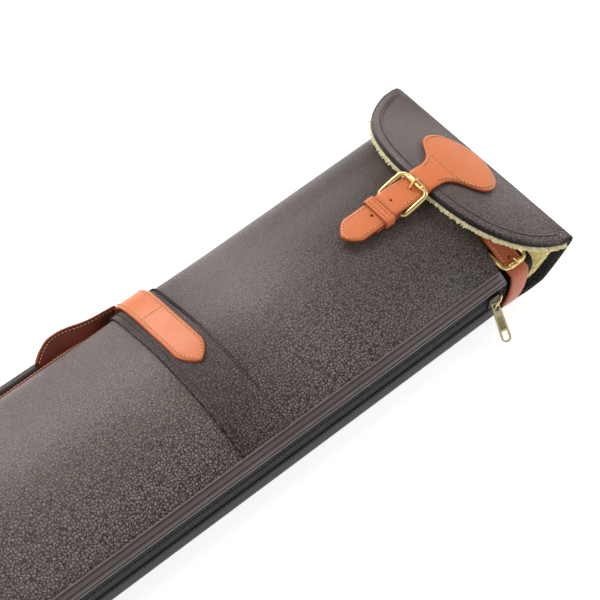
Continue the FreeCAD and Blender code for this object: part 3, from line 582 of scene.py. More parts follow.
# ---- materials ----------------------------------------------------------------------------------------
class Nodes:
    """Small builder for one procedural material."""

    INPUTS = {"color": "Base Color", "rough": "Roughness", "metal": "Metallic", "normal": "Normal",
              "coat": "Coat Weight", "coat_rough": "Coat Roughness", "sheen": "Sheen Weight",
              "sheen_rough": "Sheen Roughness", "specular": "Specular IOR Level"}

    def __init__(self, name):
        self.material = bpy.data.materials.new(name)
        self.material.use_nodes = True
        self.tree = self.material.node_tree
        self.bsdf = self.tree.nodes["Principled BSDF"]

    def add(self, kind, **values):
        """A node; each value is a property of it or an input's default."""
        node = self.tree.nodes.new(kind)
        for key, value in values.items():
            if hasattr(node, key):
                setattr(node, key, value)
            else:
                node.inputs[key].default_value = value
        return node

    def feed(self, value, socket):
        """Links a socket to another one, or sets its colour or number."""
        if hasattr(value, "links"):
            self.tree.links.new(value, socket)
        elif isinstance(value, (tuple, list)):
            socket.default_value = (*value, 1.0)
        else:
            socket.default_value = value

    def coords(self, scale, kind="Object", stretch=(1, 1, 1)):
        """Coordinates times scale (cells per metre)."""
        if kind == "grain":
            source = self.add("ShaderNodeUVMap", uv_map="grain").outputs[0]
        else:
            source = self.add("ShaderNodeTexCoord").outputs[kind]
        mapping = self.add("ShaderNodeMapping", Scale=[scale * s for s in stretch])
        self.feed(source, mapping.inputs["Vector"])
        return mapping.outputs["Vector"]

    def ramp(self, source, dark, light):
        """Black up to the position dark, white from the position light."""
        node = self.add("ShaderNodeValToRGB")
        for element, position, value in zip(node.color_ramp.elements, (dark, light), (0, 1)):
            element.position = position
            element.color = (value, value, value, 1.0)
        self.feed(source, node.inputs["Fac"])
        return node.outputs["Color"]

    def mix(self, share, a, b):
        """Colour a turned into colour b by share."""
        node = self.add("ShaderNodeMix", data_type="RGBA", blend_type="MIX")
        for value, place in ((share, 0), (a, 6), (b, 7)):
            self.feed(value, node.inputs[place])
        return node.outputs[2]

    def tint(self, colour, other, source, share):
        """A colour moved towards another by share times a source."""
        return self.mix(self.math("MULTIPLY", source, share), colour, other)

    def math(self, operation, a, b, hold=False):
        """One sum; hold keeps the result between 0 and 1."""
        node = self.add("ShaderNodeMath", operation=operation, use_clamp=hold)
        self.feed(a, node.inputs[0])
        self.feed(b, node.inputs[1])
        return node.outputs[0]

    def line(self, value, slope, offset):
        """slope times value, plus offset."""
        return self.math("ADD", self.math("MULTIPLY", value, slope), offset)

    def noise(self, cells, detail=3.0, roughness=0.5, kind="Object", stretch=(1, 1, 1), scale=1.0):
        """Noise with about so many cells per metre."""
        node = self.add("ShaderNodeTexNoise", Scale=scale, Detail=detail, Roughness=roughness)
        self.feed(self.coords(cells, kind, stretch), node.inputs["Vector"])
        return node.outputs["Fac"]

    def cells(self, vector, scale=1.0, randomness=1.0):
        """Distance from the borders of random cells."""
        node = self.add("ShaderNodeTexVoronoi", feature="DISTANCE_TO_EDGE", Scale=scale,
                        Randomness=randomness)
        self.feed(vector, node.inputs["Vector"])
        return node.outputs["Distance"]

    def wave(self, direction, vector, **values):
        """Stripes across a direction."""
        node = self.add("ShaderNodeTexWave", bands_direction=direction, **values)
        self.feed(vector, node.inputs["Vector"])
        return node.outputs["Fac"]

    def bump(self, height, strength, distance):
        """Surface relief from a height."""
        node = self.add("ShaderNodeBump", Strength=strength, Distance=distance)
        self.feed(height, node.inputs["Height"])
        return node.outputs["Normal"]

    def edge(self):
        """The mesh's edge attribute."""
        return self.add("ShaderNodeAttribute", attribute_name="edge").outputs["Fac"]

    def glow(self, colour, strength):
        """Light given off by the surface."""
        self.feed(colour, self.bsdf.inputs["Emission Color"])
        self.bsdf.inputs["Emission Strength"].default_value = strength

    def set(self, **values):
        """Fills the surface's inputs and gives the finished material."""
        for key, value in values.items():
            self.feed(value, self.bsdf.inputs[self.INPUTS[key]])
        return self.material


def shade(colour, factor):
    """A colour made lighter or darker."""
    return tuple(c * factor for c in colour)


def pebbled_leather(name, base, valley, pebble, painted_shade_y=-0.075, painted_sheen_y=0.05):
    """Dark shrunken-grain leather: glossy pebbles, dark valleys and pores; towards +y the relief flattens and
    the colour evens out. The strong contrast towards -y is painted highlight and valley shade, the even tone
    towards +y painted sheen.
    """
    n = Nodes(name)
    warp = n.add("ShaderNodeTexNoise")
    n.feed(n.coords(1000.0 / 9.0, "grain"), warp.inputs["Vector"])
    moved = n.add("ShaderNodeVectorMath", operation="MULTIPLY_ADD")
    n.feed(warp.outputs["Color"], moved.inputs[0])
    moved.inputs[1].default_value = (1.1, 1.1, 1.1)
    n.feed(n.coords(1000.0 / pebble, "grain", (1.0, 0.80, 1.0)), moved.inputs[2])
    cells = n.cells(moved.outputs[0], randomness=0.85)
    dome = n.math("POWER", n.math("MULTIPLY", cells, 1.9, True), 0.55)
    place = n.add("ShaderNodeSeparateXYZ")
    n.feed(n.coords(1.0), place.inputs[0])
    # painted light: from the first y bound to the second the grain goes from full contrast, standing in for
    # pebble highlights and valley shade, to an even tone standing in for the broad sheen
    limits = {"From Min": painted_shade_y, "From Max": painted_sheen_y, "To Min": 1.0, "To Max": 0.25}
    painted_light_contrast = n.add("ShaderNodeMapRange", **limits)
    n.feed(place.outputs["Y"], painted_light_contrast.inputs["Value"])
    depth = painted_light_contrast.outputs[0]
    pores = n.noise(1000.0 / pebble, 4.0, 0.6, "grain", scale=5.0)
    height = n.math("MULTIPLY", n.line(pores, 0.16, dome), n.line(depth, 0.6, 0.4))
    patches = n.noise(9.0, 4.0, 0.55)
    # painted light: pebble tops stay bright over dark valleys towards -y and even out towards +y
    top = n.math("MULTIPLY", n.math("SUBTRACT", n.ramp(dome, 0.24, 0.66), 0.56), depth)
    top = n.math("ADD", top, 0.56, True)
    colour = n.tint(n.mix(top, valley, base), shade(base, 1.15), patches, 0.5)
    colour = n.tint(colour, (0.010, 0.009, 0.009), n.edge(), 0.9)
    rough = n.line(patches, 0.08, n.line(dome, -0.22, 0.54))
    gloss = n.math("MULTIPLY", top, n.math("SUBTRACT", 1.0, n.math("MULTIPLY", n.edge(), 0.85)))
    return n.set(color=colour, rough=rough, normal=n.bump(height, 1.0, 0.0013), specular=gloss, coat=0.27,
                 coat_rough=0.40)


def smooth_dark_leather(name, base, gloss=0.55):
    """Smooth dark leather with fine creases and burnished edges."""
    n = Nodes(name)
    fine = n.cells(n.coords(1000.0 / 1.1, "grain"))
    creases = n.noise(1000.0 / 7.0, 5.0, 0.65, "grain", (0.4, 1.5, 1.0))
    patches = n.noise(14.0)
    colour = n.mix(patches, shade(base, 0.75), shade(base, 1.25))
    colour = n.tint(colour, (0.01, 0.009, 0.009), n.edge(), 0.7)
    return n.set(color=colour, rough=n.line(creases, 0.2, 0.40),
                 normal=n.bump(n.line(fine, 0.5, creases), 0.35, 0.0003), specular=gloss)


def tan_leather(name, base, deep):
    """Waxed bridle leather: even tan, faint mottling, fine pores, a soft coat and painted edges."""
    n = Nodes(name)
    pores = n.cells(n.coords(1000.0, "grain"), 1.6)
    fibre = n.noise(1000.0 / 2.4, 5.0, 0.6, "grain", (0.5, 1.4, 1.0))
    cloud = n.noise(1000.0 / 24.0, 4.0, 0.55, "grain")
    colour = n.tint(base, shade(base, 0.80), cloud, 0.7)
    colour = n.tint(colour, deep, fibre, 0.22)
    colour = n.tint(colour, deep, n.edge(), 0.95)
    return n.set(color=colour, rough=n.line(cloud, 0.16, 0.34),
                 normal=n.bump(n.line(pores, 0.35, fibre), 0.35, 0.00025), specular=0.35, coat=0.10,
                 coat_rough=0.25)


def brass(name, base, rough, brushed=1.0):
    """Satin brass with fine rubbing marks, darker patina in places and painted shade in its hollows."""
    n = Nodes(name)
    fine = n.noise(1000.0 / 0.8, 4.0, 0.6, stretch=(1.0, 0.35, 1.0))
    cloud = n.noise(1000.0 / 9.0, 4.0, 0.6)
    colour = n.tint(base, shade(base, 0.66), cloud, 0.35)
    # painted shade: ambient occlusion darkens the colour in hollows and where parts meet
    painted_shade_hollow = n.add("ShaderNodeAmbientOcclusion", samples=6, Distance=0.0009)
    colour = n.mix(n.ramp(painted_shade_hollow.outputs["AO"], 0.45, 0.9), shade(base, 0.6), colour)
    return n.set(color=colour, metal=1.0, rough=n.line(fine, 0.22 * brushed, rough),
                 normal=n.bump(fine, 0.10 * brushed, 0.00008))


def fleece_material(name, base, deep, glow=0.13):
    """Cream sheepskin pile: soft, light at the tips, yellow in the depths, with a faint painted glow."""
    n = Nodes(name)
    clumps = n.noise(1000.0 / 6.0, 5.0, 0.65)
    fibre = n.noise(1000.0 / 0.9, 3.0, 0.6)
    colour = n.mix(n.ramp(clumps, 0.32, 0.62), deep, base)
    colour = n.tint(colour, tuple(min(c, 0.95) for c in shade(base, 1.12)), n.edge(), 0.6)
    # painted light: the pile glows by the given strength, standing in for light scattered through it
    n.glow(colour, glow)
    return n.set(color=colour, rough=0.9, normal=n.bump(n.line(clumps, 1.4, fibre), 0.6, 0.0006),
                 specular=0.15, sheen=0.35, sheen_rough=0.5)


def thread(name, base):
    """Twisted waxed thread."""
    n = Nodes(name)
    twist = n.wave("DIAGONAL", n.coords(1000.0 / 1.3), Scale=1.0, Distortion=1.5)
    wear = n.noise(1000.0 / 5.0, 2.0)
    colour = n.tint(n.tint(base, shade(base, 0.55), twist, 0.45), shade(base, 0.6), wear, 0.4)
    return n.set(color=colour, rough=0.62, normal=n.bump(twist, 0.4, 0.00012), specular=0.35)


def zip_cloth(name):
    """Black herringbone zip tape."""
    n = Nodes(name)
    weave = n.wave("X", n.coords(1000.0 / 0.9, stretch=(1.0, 1.0, 0.0)))
    height = n.math("MAXIMUM", weave, n.wave("Z", n.coords(1000.0 / 0.8, stretch=(0.4, 0.0, 1.0))))
    colour = n.mix(height, (0.006, 0.006, 0.007), (0.030, 0.030, 0.032))
    return n.set(color=colour, rough=0.78, normal=n.bump(height, 0.5, 0.0003), specular=0.3)


def zip_plastic(name):
    """Black nylon coil with a dull gloss and lint."""
    n = Nodes(name)
    lint = n.noise(1000.0 / 2.0, 4.0)
    colour = n.mix(lint, (0.010, 0.010, 0.011), (0.045, 0.043, 0.043))
    return n.set(color=colour, rough=n.line(lint, 0.2, 0.34), normal=n.bump(lint, 0.15, 0.0002))


def floor_material():
    """Plain pale floor."""
    n = Nodes("floor_pale")
    n.glow((1.0, 1.0, 1.0), 0.62)
    colour = n.mix(n.noise(3.0, 2.0), (0.92, 0.92, 0.92), (0.95, 0.95, 0.95))
    return n.set(color=colour, rough=0.9, specular=0.1)


# painted light: the y bounds set where the grain's painted highlight and valley shade fade to an even painted
# sheen tone
M_BODY = pebbled_leather("pebbled_leather", (0.172, 0.122, 0.108), (0.005, 0.0035, 0.003), 2.45)
M_FLAP = pebbled_leather("pebbled_leather_flap", (0.150, 0.107, 0.093), (0.012, 0.009, 0.008), 2.1,
                         painted_shade_y=-0.11, painted_sheen_y=0.02)
M_WELT = smooth_dark_leather("smooth_dark_leather", (0.118, 0.092, 0.085))
M_BLACK = smooth_dark_leather("black_binding", (0.012, 0.011, 0.011), 0.25)
M_EDGE = smooth_dark_leather("grey_black_leather", (0.020, 0.018, 0.018), 0.3)
M_PIPING = smooth_dark_leather("piping_leather", (0.17, 0.155, 0.15))
M_TAN = tan_leather("tan_leather", (0.80, 0.215, 0.068), (0.24, 0.042, 0.014))
# painted shade: a darker copy of the tan leather for the mouth strap, its chape and keeper, and the base
# strip
M_TAN_PAINTED_SHADE = tan_leather("tan_leather_painted_shade", (0.50, 0.125, 0.055), (0.15, 0.030, 0.014))
M_RED = tan_leather("tan_leather_inner", (0.19, 0.042, 0.024), (0.12, 0.024, 0.013))
M_GRIP = smooth_dark_leather("grip_leather", (0.024, 0.017, 0.015))
M_BRASS = brass("satin_brass", (0.86, 0.64, 0.27), 0.24, 0.7)
M_PULL = brass("antique_brass", (0.50, 0.43, 0.24), 0.24)
M_SLIDER = brass("dark_bronze", (0.085, 0.075, 0.055), 0.32)
# painted shade: darker brass stands in for the shade in the pull's sunk panel
M_SUNK_PAINTED_SHADE = brass("pull_panel_brass_painted_shade", (0.27, 0.23, 0.13), 0.30)
M_FLEECE = fleece_material("cream_fleece", (0.90, 0.80, 0.42), (0.80, 0.66, 0.24))
# painted shade: a darker, weaker-glowing copy of the cream fleece for the fringe under the flap's edge
M_FRINGE_PAINTED_SHADE = fleece_material("cream_fleece_edge_painted_shade", (0.72, 0.66, 0.42), (0.52, 0.44, 0.20), 0.06)
M_NAP = fleece_material("dark_nap", (0.030, 0.026, 0.024), (0.012, 0.010, 0.010))
# painted shade: near-black for the stitch holes
M_PRICK_PAINTED_SHADE = thread("stitch_hole_painted_shade", (0.020, 0.008, 0.006))
M_THREAD_DARK = thread("thread_dark", (0.028, 0.012, 0.009))
M_THREAD_RED = thread("thread_red_brown", (0.070, 0.022, 0.015))
M_THREAD_TAN = thread("thread_tan", (0.86, 0.55, 0.26))
M_THREAD_GREY = thread("thread_grey", (0.16, 0.14, 0.135))
M_TAPE = zip_cloth("zip_tape_cloth")
M_COIL = zip_plastic("zip_coil_nylon")


# ---- sleeves ------------------------------------------------------------------------------------------
def groove(distance):
    """How far a sewn line pulls the leather in at a distance from it."""
    return 0.45 * math.exp(-(distance / 1.6) ** 2)


def sway(x, s):
    """Slow unevenness of soft leather, in millimetres."""
    return 0.9 * wobble(x / 95.0, s / 70.0, 3.1) + 0.35 * wobble(x / 31.0, s / 26.0, 7.7)


def sag(x, s, normal):
    """Sway of the sleeve's leather, damped on the back."""
    return sway(x, s) * (1.0 if normal.z > -0.5 else 0.15)


def sleeve_cells(xs_at, fractions, inset, seams):
    """Cells of a sleeve; xs_at(share) gives the x values of the column at that share of the outline."""
    columns = []
    for f in fractions:
        column = []
        for x in xs_at(f):
            s = f * outline_lengths(x)[2]
            point, normal = outline_point(x, s, inset)
            out = sag(x, s, normal) * min(f / 0.05, 1.0)
            out -= sum(groove(x - seam) for seam in seams)
            column.append((point + normal * out, normal, (x, s)))
        columns.append(column)
    return list(zip(*columns))


def outline_fractions():
    """Shares of the outline, closer at the zip edge and round the fold."""
    step = 4.5
    front, fold, total = outline_lengths(-300.0)
    values = [0.0, 1.0, 2.5, 5.0, 8.5]
    while values[-1] < total - step:
        s = values[-1]
        values.append(min(s + (step * 0.75 if front - 10 < s < fold else step), total))
    values.append(total)
    return [v / total for v in sorted(set(values))]


def build_sleeves():
    """Mouth sleeve and lower sleeve: front, folded side and back of each in one sheet."""
    fractions = outline_fractions()
    seams = (EDGE_ROW_X, INNER_SEAM_X)
    shares = stations(0.0, 1.0, 0.014, [(seam - SEAM_X) / (0.0 - SEAM_X) for seam in seams], 0.0032)

    def upper_xs(f):
        end = mouth_x(f)
        return [SEAM_X - SEAM_X * r + end * max(r - 0.5, 0.0) ** 2 * 4.0 for r in shares]

    upper = sheet("mouth_sleeve_leather", sleeve_cells(upper_xs, fractions, 0.0, seams), LEATHER)
    dress(upper, M_BODY, "body_leather", "case", "mouth_sleeve")
    lower_xs = stations(BODY_END, SEAM_X + 38.0, 9.0, (BODY_END + 8.0,), 1.2)
    lower = sheet("lower_sleeve_leather", sleeve_cells(lambda f: lower_xs, fractions, DEEP, ()), LEATHER)
    dress(lower, M_BODY, "body_leather", "case", "lower_sleeve")


def outline_path(x, first, last):
    """Seam line round the sleeve at station x between two shares of its outline."""
    total = outline_lengths(x)[2]
    count = max(int((last - first) * total / 2.0), 2)
    points = []
    for i in range(count + 1):
        s = (first + (last - first) * i / count) * total
        point, normal = outline_point(x, s)
        points.append(point + normal * (-0.25 + sag(x, s, normal)))
    return points


def sew(name, rows, material, slot, body, **options):
    """One object of stitches from several (path, normal function) rows."""
    sewn = [stitch_row(path, normal_at, **options) for path, normal_at in rows]
    threads, holes = merge([pair[0] for pair in sewn]), merge([pair[1] for pair in sewn])
    obj = dress(new_mesh(name, *merge([threads, holes])), material, slot, body)
    # painted shade: the hole plugs take the dark material
    obj.data.materials.append(M_PRICK_PAINTED_SHADE)
    for polygon in list(obj.data.polygons)[len(threads[1]):]:
        polygon.material_index = 1


def build_body_seams():
    """The mouth sleeve's edge row and the double row above it."""
    first = 8.0 / outline_lengths(-260.0)[2]
    edge_row = outline_path(EDGE_ROW_X, first, 0.992)
    double = [outline_path(INNER_SEAM_X + dx, first, 0.992) for dx in (-0.9, 0.9)]
    sew("mouth_sleeve_edge_stitches", [(edge_row, outline_normal)], M_THREAD_RED, "body_leather", "case",
        radius=0.5)
    sew("mouth_sleeve_inner_stitches", [(row, outline_normal) for row in double], M_THREAD_DARK,
        "body_leather", "case", pitch=2.7, length=1.9, radius=0.62, lift=0.35)


def build_front_welt():
    """Smooth band over the front's zip edge, rolled over at the edge, with two stitch rows and a piping."""
    profile = [(9.0, 0.1), (8.8, 0.7), (8.0, 1.05), (6.8, 0.8), (5.4, 1.1), (3.4, 1.1), (1.9, 0.8),
               (0.6, 1.0), (-0.9, 0.3), (-1.7, -1.2), (-1.75, -3.4), (-1.3, -5.0), (-0.2, -5.2),
               (-0.2, -1.2), (1.2, -0.3)]

    def at(x, inward, out):
        base, normal = outline_point(x, 0.0)
        return base + Vector((0, normal.z, -normal.y)) * inward + normal * out

    rings = [(x, d, h) for x in stations(BODY_END, 1.0, 6.0) for d, h in profile]
    welt = bar("front_welt_band", [at(*ring) for ring in rings], len(profile),
               [(x, d * 1.3 + h) for x, d, h in rings], [1.0 if h < -4.0 else 0.0 for x, d, h in rings])
    dress(welt, M_WELT, "smooth_dark_leather", "case", "front_welt")
    for name, inward, material, length, radius in (
            ("front_welt_inner_stitches", 6.8, M_THREAD_RED, 2.4, 0.5),
            ("front_welt_outer_stitches", 1.9, M_THREAD_DARK, 2.2, 0.45)):
        row = [at(x, inward, 1.0) for x in stations(BODY_END + 4, -1.0, 4.0)]
        sew(name, [(row, outline_normal)], material, "smooth_dark_leather", "case", length=length,
            radius=radius, lift=0.3)
    bead = [outline_point(x, 0.0)[0] + Vector((0, -1.65, -2.4)) for x in stations(BODY_END, 1.0, 8.0)]
    verts, faces = tube(bead, 0.75, sides=10)
    piping = new_mesh("front_welt_piping", verts, faces, [(v[0], v[1] + v[2]) for v in verts])
    dress(piping, M_PIPING, "smooth_dark_leather", "case")


# ---- zip ----------------------------------------------------------------------------------------------
def build_zip_tapes():
    """Woven tapes on both sides of the coils, each with a stitch row."""
    for node, first, last in (("zip_tape_front", ZIP_Z + 0.3, None), ("zip_tape_back", None, ZIP_Z - 0.3)):
        low, high = mm_box(node)
        first, last = first or low.z, last or high.z
        zs = [first + (last - first) * k / 6.0 for k in range(7)]
        cells = []
        for x in stations(low.x, high.x, 5.0):
            row = []
            for z in zs:
                wave = 0.25 * math.sin(x / 11.0 + z) + 0.3 * wobble(x / 14.0, z / 6.0, 1.0)
                row.append((Vector((x, low.y - 0.1 + wave * 0.4, z)), ZIP_OUT, (x, z)))
            cells.append(row)
        dress(sheet(node + "_cloth", cells, 0.8), M_TAPE, "zip_fabric", "case", node)
    rows = [([Vector((x, ZIP_Y - 0.3, z)) for x in stations(COIL_LOW.x, COIL_HIGH.x, 12.0)], facing(0, -1, 0))
            for z in (COIL_HIGH.z + 1.6, COIL_BACK_LOW.z - 1.6)]
    sew("zip_tape_stitches", rows, M_THREAD_GREY, "zip_fabric", "case", pitch=3.0, length=2.2, radius=0.26)


def build_zip_coils():
    """Nylon coils: one bent tooth per turn, the two sides half a turn apart."""
    for node, side, start in (("zip_coil_front", 1, 0.5), ("zip_coil_back", -1, 1.0)):
        low, high = mm_box(node)
        inner, outer = ZIP_Z - side * 0.3, ZIP_Z + side * 2.9
        arch = [(-0.35, 0.9, outer), (-0.35, -0.9, outer), (-0.1, -1.15, (inner + outer) / 2),
                (0.0, -0.95, inner), (0.1, 0.2, inner), (0.5, 0.9, outer)]
        xs = [low.x + COIL_PITCH * (i + start) for i in range(int((high.x - low.x) / COIL_PITCH))]
        teeth = [tube([Vector((x + dx, ZIP_Y + dy, z)) for dx, dy, z in arch], 0.42, sides=5) for x in xs]
        dress(new_mesh(node + "_teeth", *merge(teeth)), M_COIL, "zip_coil", "case", node)


def build_back_welt():
    """Dark strip between the zip and the back, with one stitch row."""
    low, high = mm_box("back_welt")
    profile = [(0.0, 0.4), (-1.3, 0.2), (-1.75, 2.5), (-1.7, 8.0), (-1.75, 14.5), (-1.5, 17.6), (-0.5, 18.0),
               (-0.4, 9.0)]
    verts = [Vector((x, ZIP_Y + y, z)) for x in stations(low.x, high.x, 8.0) for y, z in profile]
    welt = bar("back_welt_band", verts, len(profile), [(v.x, v.z) for v in verts])
    dress(welt, M_EDGE, "smooth_dark_leather", "case", "back_welt")
    row = [Vector((x, ZIP_Y - 1.8, 15.4)) for x in stations(low.x + 3, high.x - 3, 12.0)]
    sew("back_welt_stitches", [(row, facing(0, -1, 0))], M_THREAD_GREY, "smooth_dark_leather", "case",
        length=2.2, radius=0.33)


def build_zip_end_tab():
    """Leather tab over the zip's far end."""
    low, high = mm_box("zip_end_tab")
    cells = []
    for i in range(7):
        x = low.x + (high.x - low.x) * i / 6.0
        cells.append([(Vector((x, low.y - 0.2 * math.sin(math.pi * k / 8), low.z + (high.z - low.z) * k / 8)),
                       ZIP_OUT, (x, k * 2.8)) for k in range(9)])
    dress(sheet("zip_end_tab_leather", cells, 1.4), M_BLACK, "binding", "case", "zip_end_tab")


def rounded(obj, width):
    """Rounds every sharp edge of a piece."""
    modifier = obj.modifiers.new("round", "BEVEL")
    modifier.width = width * MM
    modifier.segments = 3
    modifier.limit_method = "ANGLE"
    modifier.angle_limit = math.radians(35)
    apply_modifiers(obj)
    for polygon in obj.data.polygons:
        polygon.use_smooth = True


def build_puller():
    """Long brass pull: rim, sunk panel, open eye and end slot."""
    pull = bpy.data.objects.new("zip_pull_plate", frame["nodes"]["zip_puller"].data.copy())
    bpy.context.scene.collection.objects.link(pull)
    pull.data.materials.clear()
    bm = bmesh.new()
    bm.from_mesh(pull.data)
    bmesh.ops.remove_doubles(bm, verts=bm.verts, dist=1e-6)
    bmesh.ops.dissolve_limit(bm, angle_limit=math.radians(4), verts=bm.verts, edges=bm.edges)
    bm.to_mesh(pull.data)
    bm.free()
    rounded(pull, 0.35)
    dress(pull, M_PULL, "pull_brass", "zip_puller", "zip_puller")
    pull.data.materials.append(M_SUNK_PAINTED_SHADE)
    along = Vector((-0.095, -0.64, -0.76)).normalized()
    face = Vector((-0.43, -0.64, 0.64))
    face = (face - along * face.dot(along)).normalized()
    top = max(v.co.dot(face) for v in pull.data.vertices)
    # painted shade: faces of the sunk panel take the darker brass
    for polygon in pull.data.polygons:
        sunk = polygon.normal.dot(face) > 0.9 and polygon.center.dot(face) < top - 0.3 * MM
        polygon.material_index = 1 if sunk else 0


def build_bail():
    """Arched brass bail on the slider, which the pull's eye hangs in."""
    middle = Vector((PULL_EYE.x + 3.0, ZIP_Y - 3.2, ZIP_Z))
    bends = ((6.2, 0.6, 4.4), (5.8, -1.4, 4.9), (3.9, -2.8, 5.1), (1.2, -4.1, 4.6), (-1.4, -4.9, 2.9),
             (-3.0, -4.8, 0.6), (-3.1, -4.8, -2.2), (-3.2, -3.6, -4.4), (-3.4, -1.2, -4.9), (-3.4, 0.6, -4.6))
    arch = [middle + Vector(p) for p in bends]
    radii = [0.85 + 0.85 * math.sin(math.pi * (i / 24.0)) if i < 24 else 0.8 for i in range(40)]
    bail = new_mesh("zip_slider_arch", *tube(smooth_path(arch, 40), radii, flatten=0.7))
    dress(bail, M_BRASS, "brass", "zip_slider", "zip_slider_bail")


def colour_carried_nodes():
    """CAD nodes whose shape is right: they only get their metal."""
    for node in ("zip_slider", "zip_top_stops", "zip_bottom_stop"):
        materials = frame["nodes"][node].data.materials
        materials.clear()
        materials.append(M_SLIDER)


# ---- flap ---------------------------------------------------------------------------------------------
def root_rows(count):
    """Flap rows of the back panel past the mouth."""
    rows = []
    for i in range(count):
        t = i / (count - 1.0)
        x, z = fold_profile(t)
        low, high = root_sides(x)
        n = -fold_normal(t)
        row = []
        for k in range(FLAP_COLUMNS):
            y = low + (high - low) * ((spread(k, FLAP_COLUMNS - 1) + 1) / 2)
            ripple = 0.5 * wobble(x / 40.0, y / 45.0, 9.0) * min(t * 4, 1.0)
            row.append((Vector((x, y, z)) + n * ripple, n))
        rows.append(row)
    return rows


def fold_rows(count):
    """Flap rows round the fold, from the back panel's top to the flap."""
    low, high = root_sides(75.0)
    x, z = fold_profile(1.0)
    bend = [(0.0, 0.0), (2.4, 3.0), (2.6, 5.6), (0.6, 8.0), (-3.0, 9.3)]
    curve = smooth_path([Vector((x + dx, 0, z + dz)) for dx, dz in bend], count + 2)
    rows = []
    for i in range(1, count + 1):
        along = tangent(curve, i)
        row = []
        for k in range(FLAP_COLUMNS):
            y_root = low + (high - low) * ((spread(k, FLAP_COLUMNS - 1) + 1) / 2)
            y = y_root + (flap_column(k) - y_root) * (i / (count + 1.0))
            row.append((Vector((curve[i].x, y, curve[i].z)), Vector((along.z, 0, -along.x))))
        rows.append(row)
    return rows


def flap_rows(count):
    """Flap rows from the fold to the free edge."""
    rows = []
    x_first = fold_profile(1.0)[0] - 4.0
    for i in range(count):
        row = []
        for k in range(FLAP_COLUMNS):
            y = flap_column(k)
            x_last = min(flap_edge(y), x_first - 4.0)
            x = x_first + (x_last - x_first) * (i / (count - 1.0))
            lift = 0.45 * wobble(x / 30.0, y / 38.0, 5.0)
            row.append((Vector((x, y, flap_z(x, y) + lift)), flap_normal(x, y)))
        rows.append(row)
    return rows


def build_flap_leather():
    """One sheet: the back panel past the mouth, the fold and the flap."""
    rows = root_rows(26) + fold_rows(7) + flap_rows(22)
    runs = run_lengths([row[FLAP_COLUMNS // 2][0] for row in rows])
    cells = [[(p, n, (run, p.y)) for p, n in row] for run, row in zip(runs, rows)]
    leather = sheet("flap_leather", cells, 2.4)
    dress(leather, M_FLAP, "body_leather", None, "flap_panel")
    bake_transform(leather)


def build_flap_band():
    """Band along the flap's free edge, turned over it, in the flap's pebbled leather."""
    path = flap_edge_points()
    profile = [(9.2, -0.1), (8.9, 0.3), (7.6, 0.5), (6.4, 0.3), (5.2, 0.5), (3.0, 0.55), (1.0, 0.35),
               (-0.5, -0.3), (-1.7, -1.4), (-2.3, -2.8), (-2.2, -4.2), (-0.8, -4.9), (2.6, -4.4),
               (3.2, -2.6), (1.0, -0.6)]
    verts, uvs = [], []
    for i, run in enumerate(run_lengths(path)):
        n = flap_normal(path[i].x, path[i].y)
        inward = flap_inward(path, i, n)
        verts += [path[i] + inward * d + n * h for d, h in profile]
        uvs += [(run, d + h) for d, h in profile]
    edge = [1.0 if h < -0.2 else 0.0 for d, h in profile] * len(path)
    band = bar("flap_edge_band", verts, len(profile), uvs, edge)
    dress(band, M_FLAP, "smooth_dark_leather", "flap", "flap_binding")
    row = flap_edge_points(margin=6.4, up=0.4)
    sew("flap_edge_stitches", [(row[3:-3], lambda p: flap_normal(p.x, p.y))], M_THREAD_RED,
        "smooth_dark_leather", "flap", length=2.4, radius=0.48, lift=0.25)


# ---- fleece -------------------------------------------------------------------------------------------
def random_vector(rng):
    """Three draws between -1 and 1."""
    return Vector((rng.uniform(-1, 1), rng.uniform(-1, 1), rng.uniform(-1, 1)))


def lock(base, normal, length, radius, rng):
    """One tapered, curled lock of fleece."""
    side = random_vector(rng)
    side = (side - normal * side.dot(normal)).normalized()
    other = normal.cross(side)
    turn = rng.uniform(0.6, 1.5)
    points, radii = [], []
    for k in range(5):
        t = k / 4.0
        curl = turn * t * 1.6
        offset = side * math.sin(curl) * length * 0.38 * t + other * (1 - math.cos(curl)) * length * 0.30 * t
        points.append(base + normal * length * t * (1 - 0.28 * t) + offset)
        radii.append(radius * (1.0 - 0.72 * t ** 1.5))
    return tube(points, radii, sides=5)


def fleece(name, spots, seed, length, radius, body, nodes=(), base=None, material=M_FLEECE, slot="fleece"):
    """Locks of fleece on (point, normal) spots, joined with an optional base (vertices, faces)."""
    rng = random.Random(seed)
    parts = [base] if base else []
    tips = [0.0] * len(base[0]) if base else []
    for point, normal in spots:
        size = 1.0 + rng.uniform(-0.35, 0.35)
        n = (normal + random_vector(rng) * 0.35).normalized()
        piece = lock(point, n, length * size, radius * (0.8 + 0.4 * rng.random()), rng)
        parts.append(piece)
        tips += [0.35 + 0.65 * (k // 5) / 4.0 for k in range(len(piece[0]))]
    dress(new_mesh(name, *merge(parts), None, tips), material, slot, body, *nodes)


def lumpy(cells, amplitude, lump_size, thick):
    """A closed lumpy slab (vertices, faces) under the locks, from rows of (point, normal)."""
    rows, cols = len(cells), len(cells[0])
    top, low = [], []
    for r, row in enumerate(cells):
        for c, (p, n) in enumerate(row):
            lump = noise.fractal(p / lump_size, 0.6, 2.0, 3) * amplitude
            border = r in (0, rows - 1) or c in (0, cols - 1)
            top.append(p + n * (0.0 if border else lump))
            low.append(p - n * thick)
    size = rows * cols
    rim = [r * cols + c for r, c in rim_cells(rows, cols)]
    walls = [[a, size + a, size + b, b] for a, b in zip(rim, rim[1:] + rim[:1])]
    return top + low, grid_faces(rows, cols) + grid_faces(rows, cols, size, True) + walls


